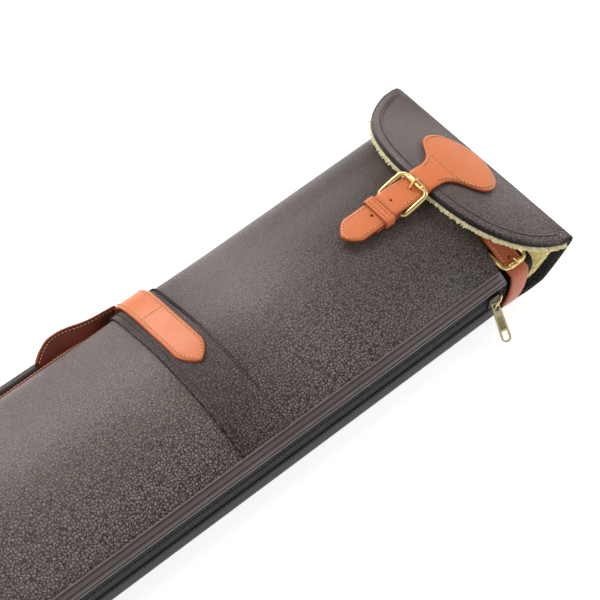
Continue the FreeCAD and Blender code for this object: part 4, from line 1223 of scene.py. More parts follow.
def scatter(cells, count, rng):
    """Random (point, normal) spots on rows of cells."""
    out = []
    for _ in range(count):
        r, c = rng.uniform(0, len(cells) - 1.001), rng.uniform(0, len(cells[0]) - 1.001)
        i, j, a, b = int(r), int(c), r % 1, c % 1
        p = (cells[i][j][0] * (1 - a) * (1 - b) + cells[i + 1][j][0] * a * (1 - b)
             + cells[i][j + 1][0] * (1 - a) * b + cells[i + 1][j + 1][0] * a * b)
        out.append((p, cells[i][j][1]))
    return out


def build_flap_fleece():
    """Pile on the flap's inner face, with a thick fringe along the free edge."""
    rng = random.Random(11)
    depth = 2.7
    cells = []
    for k in range(1, 44):
        y = FLAP_MIDDLE + (FLAP_HALF - 6.0) * spread(k, 44)
        x_last = flap_edge(y) + 1.6
        x_first = max(HINGE.x - 8.0, x_last + 1.0)
        row = []
        for i in range(24):
            x = x_first + (x_last - x_first) * i / 23.0
            n = flap_normal(x, y)
            row.append((Vector((x, y, flap_z(x, y))) - n * (depth + 1.9), -n))
        cells.append(row)
    base = lumpy(cells, 0.9, 5.0, 1.9)
    fleece("flap_fleece_pile", scatter(cells, 6500, rng), 12, 2.6, 0.95, "flap", ("flap_fleece",), base)
    spots, roll = [], []
    path = flap_edge_points(margin=1.2, count=900)
    for i in range(6, len(path) - 6):
        p = path[i]
        n = flap_normal(p.x, p.y)
        inward = flap_inward(path, i, n)
        for _ in range(4):
            spot = p - n * (depth + rng.uniform(2.2, 5.0)) + inward * rng.uniform(-3.2, 2.0)
            spots.append((spot, (-n * rng.uniform(0.5, 1.0) - inward * rng.uniform(0.1, 1.0)).normalized()))
        if i % 3 == 0:
            down = depth + 3.9 + 0.7 * noise.noise(p / 7.0)
            roll.append(p - n * down + inward * (0.1 + 1.3 * noise.noise(p / 5.0)))
    core = tube(roll, [2.3 + 0.8 * noise.noise(p / 4.0) for p in roll], sides=10)
    # painted shade: the fringe takes the darker copy of the fleece
    fleece("flap_fleece_fringe", spots, 13, 3.6, 1.25, "flap", (), core, M_FRINGE_PAINTED_SHADE)


def build_root_fleece():
    """Deep pile on the inner face of the back panel past the mouth."""
    cells = []
    for i in range(26):
        t = 0.02 + 0.84 * i / 25.0
        x, z = fold_profile(t)
        n = fold_normal(t, 0.0)
        low, high = root_sides(x)
        low, high = low + 8.5, min(high - 10.0, 74.0 if x < 30 else 200.0)
        cells.append([(Vector((x, low + (high - low) * k / 59.0, z)) + n * 6.4, n) for k in range(60)])
    base = lumpy(cells, 1.3, 6.0, 3.8)
    spots = scatter(cells, 8000, random.Random(21))
    fleece("root_fleece_pile", spots, 22, 2.5, 1.45, "case", ("root_fleece",), base)


def build_lining():
    """Fleece inside the sleeves: a lumpy shell, with locks near the mouth."""
    fractions = [0.012 + 0.976 * k / 90.0 for k in range(91)]
    ends = [min(mouth_x(f), LINING_X) - 3.5 for f in fractions]
    near = [0.0, 2.5, 5.0, 8.0, 11.0, 15.0, 20.0, 26.0, 34.0, 44.0, 56.0, 70.0, 90.0]
    cells = []
    for back in near + [90.0 + 736.0 * k / 40.0 for k in range(1, 41)]:
        row = []
        for f, end in zip(fractions, ends):
            x = end - back
            point, normal = outline_point(x, f * outline_lengths(x)[2], LINING_DEPTH)
            row.append((point, -normal))
        cells.append(row)
    base = lumpy(cells, 1.1, 6.0, 4.4)
    spots = scatter(cells[:12], 7000, random.Random(31))
    fleece("sleeve_fleece_lining", spots, 32, 2.4, 1.35, "case", ("fleece_lining",), base)


def build_root_binding():
    """Ragged dark strip along the zip-side edge of the back panel."""
    cells = []
    for i in range(40):
        t = 0.10 + 0.88 * i / 39.0
        x, z = fold_profile(t)
        n = fold_normal(t)
        row = []
        for k in range(7):
            y = root_sides(x)[0] + 0.2 + 9.5 * k / 6.0
            point = Vector((x, y, z)) + n * (3.4 + 0.5 * wobble(x / 3.0, y / 3.0, 0))
            row.append((point, n, (x, point.y)))
        cells.append(row)
    dress(sheet("root_binding_strip", cells, 1.1), M_BLACK, "binding", "case", "root_binding")
    spots = scatter(cells, 700, random.Random(41))
    fleece("root_binding_nap", spots, 42, 1.5, 0.55, "case", material=M_NAP, slot="binding")


# ---- closed end ---------------------------------------------------------------------------------------
def end_ring(x, inset, side, share=1.0):
    """Closed outline of the sleeve's end: front, fold, back and the flat zip side, drawn in by a share."""
    total = outline_lengths(BODY_END)[2]
    line = [outline_point(BODY_END, k / 96.0 * total, inset)[0] for k in range(97)]
    line = [Vector((x, max(p.y, side), p.z)) for p in line]
    top, bottom = line[0], line[-1]
    line += [Vector((x, side, bottom.z + (top.z - bottom.z) * k / 12.0)) for k in range(1, 12)]
    centre = Vector((x, -8.0, 33.0))
    return [centre + (p - centre) * share for p in line]


def build_closed_end():
    """Leather cap, rolled piping and fleece pad of the closed end."""
    x_out, side = mm_box("end_cap")[0].x, ZIP_Y + 2.6
    shares = (0.03, 0.2, 0.4, 0.6, 0.8, 0.93, 0.975)
    rings = [(x_out + 0.9 - 0.7 * math.sin(math.pi * s), s) for s in shares]
    rings += [(x_out + 0.15, 0.992), (x_out + 0.8, 1.0)] + [(x_out + 2.6, s) for s in (1.0, 0.6, 0.03)]
    rings = [end_ring(x, 4.2, side, s) for x, s in rings]
    verts = [p for ring in rings for p in ring]
    cap = bar("end_cap_leather", verts, len(rings[0]), [(v.y, v.z) for v in verts])
    dress(cap, M_BODY, "body_leather", "case", "end_cap")
    verts, faces = tube(end_ring(BODY_END - 1.9, 3.4, ZIP_Y + 1.0), 1.7, sides=10, closed=True)
    piping = new_mesh("end_piping_bead", verts, faces, [(v.y, v.z) for v in verts])
    dress(piping, M_BLACK, "binding", "case", "end_piping")
    rings = [end_ring(BODY_END + 5.5, 12.0, ZIP_Y + 12.0, share) for share in (0.86, 0.7, 0.5, 0.3, 0.1)]
    cells = [[(p, Vector((1, 0, 0))) for p in ring[::2] + ring[:1]] for ring in rings]
    base = lumpy(cells, 1.0, 6.0, 4.6)
    spots = scatter(cells, 500, random.Random(51))
    fleece("end_fleece_pad", spots, 52, 3.0, 1.2, "case", ("end_fleece",), base)


# ---- buckles and straps -------------------------------------------------------------------------------
class Buckle:
    """A buckle's sizes, and the map from its own axes (u to the roller, v across, w up) into the case."""

    def __init__(self, origin, turn, dip, half, length, wire, scale, roller_height):
        self.matrix = (Matrix.Translation(origin) @ Matrix.Rotation(math.radians(turn), 4, "Z")
                       @ Matrix.Rotation(math.radians(dip), 4, "Y"))
        self.half, self.length, self.wire, self.k = half, length, wire, scale
        self.heel_w = 0.2 + 2.4 + 0.1 * scale + wire
        self.roller_w = roller_height
        self.roller_r = wire * 1.6
        self.under_roller = self.roller_w - self.roller_r - 2.65

    def at(self, u, v, w):
        """Point at buckle coordinates."""
        return self.matrix @ Vector((u, v, w))

    def dir(self, u, v, w):
        """Direction in buckle coordinates."""
        return self.matrix.to_3x3() @ Vector((u, v, w))

    def strap_points(self):
        """Middle line of the strap's lower face from its tail to just past the roller."""
        over = self.heel_w + self.wire + 0.1 + 1.92 + 0.2
        rest = 5.2
        line = [(-30.0 * self.k, rest), (-8.5 * self.k, rest + 0.4), (-3.5, over), (3.0, over),
                (self.length - 5.0, self.under_roller + 0.3), (self.length + 1.5, self.under_roller)]
        return [self.at(u, 0, w) for u, w in line]


FLAP_BUCKLE = Buckle(Vector((FLAP_HEEL.x, STRAP_Y, 70.0)), 0.0, 0.0, STRAP_HALF, 29.0, 1.8, 1.0, 12.6)
MOUTH_BUCKLE = Buckle(Vector((18.5, -66.0, 48.0)), -90.0, 16.0, 10.0, 27.0, 1.6, 0.9, 9.9)


def build_buckle_frame(prefix, b, body):
    """Bent wire frame: tight corners at the heel, wide ones at the roller, thicker legs."""
    half = b.half + 1.2 + b.wire
    wide, tight = 6.0 * b.k, 3.4 * b.k
    rise = (b.roller_w - b.heel_w) / b.length
    points = []
    for u, v, r, first in ((b.length - wide, half - wide, wide, 0), (tight, half - tight, tight, 90),
                           (tight, tight - half, tight, 180), (b.length - wide, wide - half, wide, 270)):
        for step in range(0, 91, 10):
            a = math.radians(first + step)
            corner_u = u + r * math.cos(a)
            points.append(b.at(corner_u, v + r * math.sin(a), b.heel_w + rise * corner_u))
    dense = []
    for p, q in zip(points, points[1:] + points[:1]):
        steps = max(int((q - p).length / 1.6), 1)
        dense += [p.lerp(q, k / steps) for k in range(steps)]
    heel = b.at(0, 0, b.heel_w)
    gauge = []
    for p in dense:
        u = (p - heel).dot(b.dir(1, 0, 0)) - 2.0
        leg = math.sin(math.pi * clamp(u / (b.length - 5.0)))
        gauge.append(b.wire * (1.0 + 0.16 * clamp(u / 5.0) + 0.16 * leg))
    ring = new_mesh(prefix + "_buckle_ring", *tube(dense, gauge, sides=20, closed=True, up=b.dir(0, 0, 1)))
    dress(ring, M_BRASS, "brass", body, prefix + "_buckle_frame")


def build_buckle_roller(prefix, b, body):
    """Turned roller with a raised bead at each end."""
    reach, r, sides = b.half * 0.72, b.roller_r, 28
    bead = [(0.0, 0.74), (0.0, 0.92), (0.4, 1.02), (1.5, 1.02), (1.9, 0.93), (2.3, 1.0)]
    outline = [(-reach + d, r * share) for d, share in bead] + [(0.0, r)]
    outline += [(reach - d, r * share) for d, share in bead[::-1]]
    outline += [(v, b.wire * 1.06) for v in (reach, 0.0, -reach)]
    verts = []
    for k in range(sides):
        a = 2 * math.pi * k / sides
        verts += [b.at(b.length + radius * math.cos(a), v, b.roller_w + radius * math.sin(a))
                  for v, radius in outline]
    faces = grid_faces(sides, len(outline), wrap=True, ring=True)
    roller = recalc(new_mesh(prefix + "_buckle_roll", verts, faces))
    dress(roller, M_BRASS, "brass", body, prefix + "_buckle_roller")


def build_buckle_prong(prefix, b, body):
    """Prong: an eye round the heel bar and an arm that rests on the roller."""
    pr = 1.0 * b.k
    top = b.roller_w + b.roller_r + pr + 0.3
    arm = [(b.wire + 1.0, b.heel_w + 0.3), (b.length - 13.0 * b.k, b.heel_w + 0.5 * b.k),
           (b.length - 10.0 * b.k, b.heel_w + 1.6), (b.length - 3.6, top - 1.0), (b.length - 1.0, top),
           (b.length + 1.2, top), (b.length + 3.4 * b.k, top - 1.0)]
    path = smooth_path([b.at(u, 0, w) for u, w in arm], 34)
    radii = [pr * (1.0 + 0.25 * (1 - i / 33.0)) * (1.0 - 0.14 * max(i - 30, 0)) for i in range(34)]
    angles = [2 * math.pi * k / 20 for k in range(20)]
    eye_r = b.wire + 0.95
    eye = [b.at(eye_r * math.cos(a), 0, b.heel_w + eye_r * math.sin(a)) for a in angles]
    parts = [tube(path, radii), tube(eye, 0.85 * b.k, sides=10, closed=True)]
    prong = new_mesh(prefix + "_buckle_tongue", *merge(parts))
    dress(prong, M_BRASS, "brass", body, prefix + "_buckle_prong")


def build_chape(prefix, b, tail, material):
    """Leather loop round the heel bar, with its two ends sewn down behind it."""
    r = b.wire + 0.95
    angles = [math.radians(d) for d in range(-120, 121, 30)]
    rows = [(-tail, 0.3), (-tail * 0.6, 0.3), (-6.0, 0.5)]
    rows += [(r * math.cos(a) - 0.2, b.heel_w + r * math.sin(a) * 1.05) for a in angles]
    rows += [(-8.0, 2.7), (-tail * 0.6, 2.6), (-tail, 2.5)]
    path = smooth_path([b.at(u, 0, w) for u, w in rows], 60)
    half = b.half * 0.985
    side = b.dir(0, 1, 0)
    cells = []
    for i, run in enumerate(run_lengths(path)):
        n = side.cross(tangent(path, i)).normalized()
        cells.append([(path[i] + side * half * math.sin(math.pi / 2 * (-1 + k / 5.0)), n,
                       (run, half * (-1 + k / 5.0))) for k in range(11)])
    chape = sheet(prefix + "_chape_leather", cells, 1.7)
    dress(chape, material, "tan_leather", "case", prefix + "_buckle_chape")


def build_keeper(prefix, b, first, width, material):
    """Leather keeper round the strap, with a row of stitches near each edge."""
    half, wall, radius = b.half + 0.6, 1.5 * b.k, 1.6
    low, high = 0.9, 9.4
    reach, top, base = half - radius + wall / 2, high - radius + wall / 2, low + radius
    loop = []
    for v, w, start in ((reach, top, 0), (-reach, top, 90), (-reach, base, 180), (reach, base, 270)):
        for d in range(0, 91, 15):
            a = math.radians(start + d)
            loop.append((v + radius * math.cos(a), w + radius * math.sin(a)))
    dense = []
    for p, q in zip(loop, loop[1:] + loop[:1]):
        steps = max(int(math.hypot(q[0] - p[0], q[1] - p[1]) / 2.0), 1)
        dense += [(p[0] + (q[0] - p[0]) * k / steps, p[1] + (q[1] - p[1]) * k / steps) for k in range(steps)]
    profile = [(0.0, -wall / 2), (0.25, wall * 0.35), (0.9, wall / 2), (width * 0.3, wall * 0.42),
               (width / 2, wall * 0.5), (width * 0.7, wall * 0.42), (width - 0.9, wall / 2),
               (width - 0.25, wall * 0.35), (width, -wall / 2)]
    wear = [1.0, 0.5, 0.0, 0.0, 0.0, 0.0, 0.0, 0.5, 1.0]
    verts, uvs, run = [], [], 0.0
    for i, (v, w) in enumerate(dense):
        pv, pw = dense[i - 1]
        nv, nw = dense[(i + 1) % len(dense)]
        ahead = Vector((nv - pv, nw - pw)).normalized()
        out = Vector((ahead.y, -ahead.x))
        if out.dot(Vector((v, w - (low + high) / 2))) < 0:
            out = -out
        run += math.hypot(v - pv, w - pw) if i else 0.0
        verts += [b.at(first + du, v + out.x * h, w + out.y * h) for du, h in profile]
        uvs += [(run, du) for du, h in profile]
    faces = grid_faces(len(dense), len(profile), wrap=True, ring=True)
    keeper = recalc(new_mesh(prefix + "_keeper_loop", verts, faces, uvs, wear * len(dense)))
    dress(keeper, material, "tan_leather", "case", prefix + "_buckle_keeper")
    row_w = high + wall / 2 + 0.05 + 0.25
    rows = [([b.at(first + du, v, row_w) for v in (-half + 1.5, 0, half - 1.5)], lambda p: b.dir(0, 0, 1))
            for du in (width * 0.3, width * 0.7)]
    sew(prefix + "_keeper_stitches", rows, M_THREAD_RED, "tan_leather", "case", pitch=2.9, length=2.0,
        radius=0.42)


def patch_half(x):
    """Half width of the waisted patch at x: smooth between its knots, straight near the round end."""
    knots = [(11.4, 13.5), (18.0, 15.0), (25.0, 20.5), (30.0, 28.0), (35.0, 35.5), (40.0, 39.5), (46.0, 41.0),
             (53.0, 39.0), (60.0, 33.0), (65.0, 24.5), (68.5, 13.5), (69.6, 7.0), (70.0, 1.0)]
    if x <= knots[0][0]:
        return knots[0][1]
    i = next(i for i in range(len(knots) - 1) if x <= knots[i + 1][0])
    (xa, ya), (x0, y0) = knots[max(i - 1, 0)], knots[i]
    (x1, y1), (xb, yb) = knots[i + 1], knots[min(i + 2, len(knots) - 1)]
    t = (x - x0) / (x1 - x0)
    if x > 60:
        return y0 + (y1 - y0) * t
    span = x1 - x0
    return hermite(t, y0, y1, (y1 - ya) / (x1 - xa) * span, (yb - y0) / (xb - x0) * span)


PATCH_X = [70.0, 69.85, 69.6, 69.1, 68.4, 67.2, 65.5, 63.0, 60.0, 56.5, 53.0, 49.5, 46.0, 43.0, 40.0, 37.5,
           35.0, 32.5, 30.0, 27.5, 25.0, 22.0, 18.0, 15.0, 11.4, 8.8, 4.0, 0.5]


def flap_strap_line():
    """Middle line, upward directions and half widths of patch and strap, from the patch's round end."""
    b = FLAP_BUCKLE
    path = [Vector((x, STRAP_Y, flap_z(x, STRAP_Y) + PATCH_LIFT)) for x in PATCH_X]
    tail = smooth_path([path[-1]] + b.strap_points()[::-1] + [b.at(-55.5, 0, 4.0)], 62)[1:]
    ups = [flap_normal(x, STRAP_Y) for x in PATCH_X] + [UP] * len(tail)
    widths = [patch_half(x) for x in PATCH_X]
    for p in tail:
        near = 1 - min((p.x - tail[-1].x) / 16.0, 1.0)
        widths.append(STRAP_HALF * min(1.0, (1 - near ** 1.8) ** (1 / 1.18) + 0.05))
    return path + tail, ups, widths


def build_flap_strap():
    """Patch and strap of the flap in one piece of leather, through the buckle to its pointed tail."""
    b = FLAP_BUCKLE
    path, ups, widths = flap_strap_line()
    cells = []
    for i, run in enumerate(run_lengths(path)):
        n, side = across(path, i, ups[i])
        end_rim = 0.6 * math.exp(-(i / 1.6)) if i < 6 else 0.0
        row = []
        for k in range(21):
            t = -math.cos(math.pi * k / 20)
            q = path[i] + side * widths[i] * t
            here = n
            if i < len(PATCH_X) - 2:
                q.z = flap_z(q.x, q.y) + PATCH_LIFT
                here = flap_normal(q.x, q.y)
            height = 2.5 + 0.35 * (1 - abs(t) ** 3) - 0.8 * abs(t) ** 16 - end_rim
            row.append((q + here * height, (here + side * t * 0.1).normalized(), (run, widths[i] * t)))
        cells.append(row)
    leather = sheet("flap_patch_strap", cells, 2.5)
    tail = path[len(PATCH_X):]
    used = b.length - 7.2
    holes = []
    for u, dx, radius in ((used - 22.0, 0.0, 1.45), (used - 44.0, 0.0, 1.45), (used, 0.5, 2.0)):
        x = b.at(u, 0, 0).x
        close = min(tail, key=lambda p: abs(p.x - x))
        holes.append((close + Vector((dx, 0, 3.0)), UP, radius, 9.0))
    punch(leather, holes)
    dress(leather, M_TAN, "tan_leather", None, "flap_patch", "flap_strap")
    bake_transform(leather)
    sew_flap_patch()
    sew_flap_strap(tail, widths[len(PATCH_X):])


def sew_flap_patch():
    """Stitches round the patch and across its neck."""
    def on_flap(points, up):
        return [Vector((x, y, flap_z(x, y) + PATCH_LIFT + up)) for x, y in points]

    ring = [(x, patch_half(x) - 3.0) for x in PATCH_X[3:25]]
    loop = [(x, STRAP_Y - h) for x, h in ring[::-1]] + [(67.0, STRAP_Y)] + [(x, STRAP_Y + h) for x, h in ring]
    neck = [(27.0 + 1.2 * abs(t) ** 2, STRAP_Y + t * (patch_half(27.0) - 4.5))
            for t in [-1 + 0.1 * k for k in range(21)]]
    rows = [(path, lambda p: flap_normal(p.x, p.y)) for path in (on_flap(loop, 2.85), on_flap(neck, 3.0))]
    sew("flap_patch_stitches", rows, M_THREAD_TAN, "tan_leather", "flap", length=2.3, radius=0.48, bore=0.75)


def sew_flap_strap(tail, widths):
    """Stitches along the strap on both sides of the buckle's heel bar."""
    b = FLAP_BUCKLE
    free = [i for i, p in enumerate(tail) if p.x < b.at(-3.0, 0, 0).x]
    free_path, free_widths = [tail[i] for i in free], [widths[i] for i in free]
    left, right = offset_rows(free_path, free_widths, [UP] * len(free), 2.6, 2.65)
    keep = [i for i, w in enumerate(free_widths) if w > 4.0]
    inside = [p for p in tail if b.at(1.0, 0, 0).x < p.x < b.at(b.length - 4.0, 0, 0).x]
    pair = offset_rows(inside, [STRAP_HALF] * len(inside), [UP] * len(inside), 2.6, 2.65)
    rows = [[left[i] for i in keep] + [right[i] for i in keep][::-1], *pair]
    sew("flap_strap_stitches", [(row, facing(0, 0, 1)) for row in rows], M_THREAD_TAN, "tan_leather",
        "flap_strap", length=2.3, radius=0.46, bore=0.75)


def build_mouth_strap():
    """Mouth strap in one piece: tail, buckle, bend round the corner and sewn end on the side."""
    b = MOUTH_BUCKLE
    knuckle = b.at(31.5, 0, b.under_roller)
    side = [(-100.4, 41.8), (-101.8, 37.0), (-102.6, 30.0), (-102.8, 22.0), (-102.0, 13.0), (-100.2, 4.6)]
    lean = [Vector((knuckle.x + 0.17 * (z - 41.8), y + 0.4, z)) for y, z in side]
    path = smooth_path([b.at(-44.0, 0, 4.2)] + b.strap_points() + [knuckle] + lean, 90)
    ups = [Vector((1, 0, 0)).cross(tangent(path, i)) * -1.0 for i in range(90)]
    widths = [9.8 * min(1.0, (1 - (1 - min(i / 9.0, 1.0)) ** 2.2) ** (1 / 2.2) + 0.05) for i in range(90)]
    leather = strap("mouth_strap_leather", path, widths, 2.4, ups)
    near = min(path, key=lambda p: (p - b.at(b.length - 6.5, 0, 6.0)).length)
    punch(leather, [(near + Vector((0, 0, 2)), b.dir(0, 0, 1), 1.6, 7.0)])
    # painted shade: the mouth strap takes the darker copy of the tan
    dress(leather, M_TAN_PAINTED_SHADE, "tan_leather", "case", "mouth_strap", "mouth_strap_root")
    rows = [(row[8:56], lambda p: ZIP_OUT if p.z < 40 else b.dir(0, 0, 1))
            for row in offset_rows(path, widths, ups, 2.3, 2.6)]
    sew("mouth_strap_stitches", rows, M_THREAD_TAN, "tan_leather", "case", length=2.2, radius=0.40, bore=0.75)


def build_mouth_tongue():
    """Black tongue under the mouth strap, with a rounded free edge."""
    low, high = mm_box("mouth_tongue")
    bends = [(-40.5, 53.6), (-60.0, 48.2), (-84.0, 41.3), (-94.5, 37.6), (-98.3, 31.0), (-98.4, 20.0),
             (-98.2, 12.0)]
    profile = smooth_path([Vector((0, y, z)) for y, z in bends], 34)
    left = low.x + 0.4
    cells = []
    for i, p in enumerate(profile):
        share = i / 33.0
        right = high.x - 0.5 - 15.0 * max(0.0, (share - 0.62) / 0.38) ** 2.0
        right -= 5.0 * max(0.0, 0.25 - share) / 0.25
        right += 1.6 * math.sin(share * math.pi)
        n = Vector((1, 0, 0)).cross(tangent(profile, i))
        n = -n if n.z < -0.01 or (abs(n.z) < 0.3 and n.y > 0) else n
        line = [Vector((left + (right - left) * k / 14.0, p.y, p.z)) for k in range(15)]
        cells.append([(q, n, (q.x, i * 2.0)) for q in line])
    dress(sheet("mouth_tongue_leather", cells, 1.5), M_BLACK, "binding", "case", "mouth_tongue")
    row = [line[-1][0] + Vector((-2.6, 0, 0)) + line[0][1] * 0.15 for line in cells[2:-6]]
    up = Vector((0, -0.4, 1)).normalized()
    sew("mouth_tongue_stitches", [(row, lambda p: up)], M_THREAD_GREY, "binding", "case", length=1.9,
        radius=0.26)


# ---- handle side --------------------------------------------------------------------------------------
def build_wrap(node):
    """Tan wrap: pointed tab on the front, an arch off the fold and a run down the far side."""
    low, high = mm_box(node)
    x = (low.x + high.x) / 2
    half = (high.x - low.x) / 2
    tip_y = -6.5
    front = outline_lengths(x)[0]
    start = next(k for k in range(400) if outline_point(x, k * 0.5)[0].y > tip_y) * 0.5
    stop = front + SIDE_R * math.radians(136)
    raw = []
    for i in range(0, 61, 3):
        s = start + (stop - start) * i / 60
        point, normal = outline_point(x, s)
        rise = clamp((s - front + 34.0) / 26.0)
        raw.append(point + normal * (0.3 + 2.9 * ease(rise) + 0.6 * sway(x, s) * (1 - rise)))
    path = smooth_path(raw, 90)
    widths = []
    for run in run_lengths(path):
        t = min(run / 19.0, 1.0)
        widths.append(half * (1 - (1 - t) ** 1.85) ** (1 / 1.15) * 0.975 + 0.35)
    ups = [outline_normal(p) for p in path]
    leather = strap(node + "_strap", path, widths, 2.6, ups, crown_up=0.35, across_steps=15)
    dress(leather, M_TAN, "tan_leather", "case", node)
    left, right = offset_rows(path, widths, ups, 3.0, 2.85)
    first = next(i for i, w in enumerate(widths) if w > 4.0)
    k = min(range(60), key=lambda i: abs(path[i].y - 62.0))
    cross_row = [left[k], (left[k] + right[k]) / 2 + ups[k] * 0.12, right[k]]
    rows = [(left[first:72][::-1] + right[first:72], outline_normal), (cross_row, outline_normal)]
    sew(node + "_stitches", rows, M_THREAD_TAN, "tan_leather", "case", length=2.4, radius=0.5, bore=0.75)


def handle_line():
    """Middle line of the handle from one wrap to the other."""
    near, far = mm_box("handle_wrap_near")[0].x - 1.0, mm_box("handle_wrap_far")[1].x + 1.0
    base_near, base_far = handle_side(near) - DEEP, handle_side(far) - DEEP
    shape = [(0.0, 9.0), (0.05, 10.8), (0.1, 14.0), (0.145, 18.3), (0.175, 20.0), (0.205, 19.4), (0.24, 15.5),
             (0.268, 10.4), (0.38, 10.2), (0.5, 10.8)]
    shape += [(1.0 - t, out) for t, out in shape[-2::-1]]
    return [Vector((near + (far - near) * t, base_near + (base_far - base_near) * t + out, SIDE_R))
            for t, out in shape]


def build_handle_end(name, node, points):
    """One tan end of the handle, leaning outward, tan outside and red-brown inside."""
    path = smooth_path(points, 44)
    widths = [10.8 - 4.2 * max(0.0, (i - 32) / 11.0) ** 1.3 for i in range(44)]
    tilt = math.radians(44.0)
    lean = [tilt * min(i / 14.0, 1.0) ** 0.8 * (1.0 - 0.35 * max(i - 34, 0) / 9.0) for i in range(44)]
    path[0] = path[0] + (path[0] - path[1]).normalized() * 2.4
    path = [p + Vector((0, -1.5 - 7.5 * math.sin(a), 0)) for p, a in zip(path, lean)]
    ups = [Vector((0, math.cos(a), -math.sin(a))) for a in lean]
    leather = strap(name + "_leather", path, widths, 3.0, ups, crown_up=0.3)
    dress(leather, M_TAN, "tan_leather", "handle", node)
    leather.data.materials.append(M_RED)
    for polygon in leather.data.polygons:
        polygon.material_index = 1 if polygon.normal.y < -0.35 else 0
    rows = []
    for side in (1, -1):
        for out, sign in ((3.2, 1), (-0.1, -1)):
            row = [p + n * out + Vector((0, -n.z, n.y)) * side * (w - 2.2)
                   for p, n, w in zip(path, ups, widths)]
            rows.append((row, facing(0, 0.8 * sign, -0.6 * sign)))
    sew(name + "_stitches", rows, M_THREAD_TAN, "tan_leather", "handle", length=2.4, radius=0.46, bore=0.75)


def build_handle():
    """Both tan ends and the dark padded grip between them."""
    line = handle_line()
    build_handle_end("handle_near", "handle_end_near", line[:8])
    build_handle_end("handle_far", "handle_end_far", line[11:][::-1])
    sides = 28
    path = smooth_path([p + Vector((0, -2.2, -2.5)) for p in line[7:12]], 60)
    radii = [5.1 + 0.9 * math.sin(math.pi * i / 59.0) - (1.2 if i in (0, 59) else 0.0) for i in range(60)]
    verts, faces = tube(path, radii, sides=sides)
    uvs = [(v.x, (i % sides) * 1.2) for i, v in enumerate(verts)]
    grip = new_mesh("handle_grip_leather", verts, faces, uvs)
    dress(grip, M_GRIP, "grip_leather", "handle", "handle_grip")
    seam = [p + Vector((0, -0.8, -r * 0.99)) for p, r in zip(path[2:-2], radii[2:-2])]
    sew("handle_grip_stitches", [(seam, facing(0, 0, -1))], M_THREAD_DARK, "grip_leather", "handle",
        length=2.2, radius=0.4)


def build_base_strip():
    """Tan strip along the folded side, climbing a little round the fold between the wraps."""
    low, high = mm_box("handle_base_strip")
    path, ups = [], []
    for x in stations(low.x, high.x, 9.0):
        angle = 0.31 * ease((min(x - low.x, high.x - x) - 18.0) / 40.0)
        ups.append(Vector((0, math.cos(angle), math.sin(angle))))
        path.append(Vector((x, handle_side(x) - SIDE_R, SIDE_R)) + ups[-1] * (SIDE_R - DEEP - 0.1))
    leather = strap("handle_base_leather", path, [3.8] * len(path), 1.0, ups, crown_up=0.1)
    # painted shade: the base strip takes the darker copy of the tan
    dress(leather, M_TAN_PAINTED_SHADE, "tan_leather", "case", "handle_base_strip")
    rows = [([p + n * 1.1 + Vector((0, -n.z, n.y)) * side * 2.3 for p, n in zip(path, ups)],
             facing(*ups[len(ups) // 2])) for side in (1, -1)]
    sew("handle_base_stitches", rows, M_THREAD_TAN, "tan_leather", "case", length=2.3, radius=0.33)


# ---- stage --------------------------------------------------------------------------------------------
def build_world():
    """Pale studio surroundings, bright low down and darker overhead."""
    world = bpy.data.worlds.new("studio")
    bpy.context.scene.world = world
    world.use_nodes = True
    nodes, links = world.node_tree.nodes, world.node_tree.links
    direction = nodes.new("ShaderNodeTexCoord")
    split = nodes.new("ShaderNodeSeparateXYZ")
    links.new(direction.outputs["Generated"], split.inputs[0])
    height = nodes.new("ShaderNodeValToRGB")
    for element, (position, value) in zip(height.color_ramp.elements, ((0.55, 0.85), (0.86, 0.16))):
        element.position = position
        element.color = (value, value, value, 1.0)
    height.color_ramp.interpolation = "EASE"
    links.new(split.outputs["Z"], height.inputs["Fac"])
    links.new(height.outputs["Color"], nodes["Background"].inputs["Color"])
    nodes["Background"].inputs["Strength"].default_value = 0.95


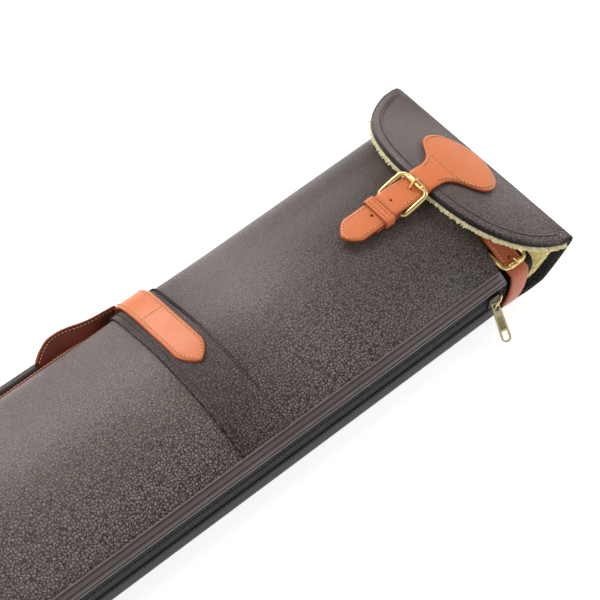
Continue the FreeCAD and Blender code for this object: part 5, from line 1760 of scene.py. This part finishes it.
def build_stage():
    """Floor, surroundings and three area lights."""
    reach = 6000
    corners = [(-reach, -reach, -0.3), (reach, -reach, -0.3), (reach, reach, -0.3), (-reach, reach, -0.3)]
    floor = new_mesh("floor", corners, [[0, 1, 2, 3]])
    floor.data.materials.append(floor_material())
    build_world()
    for name, location, target, size, power in (
            ("sky_back", (0.10, 1.55, 1.45), (-0.3, 0.0, 0.05), (1.5, 0.7), 30.0),
            ("key_left", (-1.6, 0.5, 1.2), (-0.2, 0.0, 0.05), (0.7, 0.5), 9.0),
            ("fill_right", (1.5, -0.6, 0.8), (0.0, -0.05, 0.05), (0.6, 0.5), 6.0)):
        light = bpy.data.lights.new(name, "AREA")
        light.shape = "RECTANGLE"
        light.size, light.size_y = size
        light.energy = power
        obj = bpy.data.objects.new(name, light)
        obj.location = location
        obj.rotation_euler = (Vector(target) - Vector(location)).to_track_quat("-Z", "Y").to_euler()
        bpy.context.scene.collection.objects.link(obj)


def build_camera():
    """Long lens looking down over the zip side."""
    camera = bpy.data.cameras.new("camera")
    camera.lens = 90.0
    camera.sensor_width = 36.0
    camera.clip_start = 0.01
    obj = bpy.data.objects.new("camera", camera)
    bpy.context.scene.collection.objects.link(obj)
    right = Vector((0.7664, -0.6423, -0.0020))
    up = Vector((0.5334, 0.6347, 0.5592))
    matrix = Matrix((right, up, right.cross(up))).transposed().to_4x4()
    matrix.translation = Vector((-0.6080, -0.5541, 1.1117))
    obj.matrix_world = matrix
    bpy.context.scene.camera = obj


bpy.context.scene.view_settings.view_transform = "Standard"

build_sleeves()
build_body_seams()
build_front_welt()
build_zip_tapes()
build_zip_coils()
build_back_welt()
build_zip_end_tab()
build_puller()
build_bail()
colour_carried_nodes()
build_flap_leather()
build_flap_band()
build_flap_fleece()
build_root_fleece()
build_lining()
build_root_binding()
build_closed_end()
for prefix, buckle, bodies, tail, leather, keeper_u, keeper_width in (
        ("flap", FLAP_BUCKLE, ("flap_buckle", "flap_roller", "flap_prong"), 27.0, M_TAN, -18.5, 10.5),
        # painted shade: the mouth buckle's chape and keeper take the darker copy of the tan
        ("mouth", MOUTH_BUCKLE, ("case", "mouth_roller", "case"), 24.0, M_TAN_PAINTED_SHADE, -20.0, 9.0)):
    build_buckle_frame(prefix, buckle, bodies[0])
    build_buckle_roller(prefix, buckle, bodies[1])
    build_buckle_prong(prefix, buckle, bodies[2])
    build_chape(prefix, buckle, tail, leather)
    build_keeper(prefix, buckle, keeper_u, keeper_width, leather)
build_flap_strap()
build_mouth_strap()
build_mouth_tongue()
build_wrap("handle_wrap_near")
build_wrap("handle_wrap_far")
build_handle()
build_base_strip()
build_stage()
build_camera()
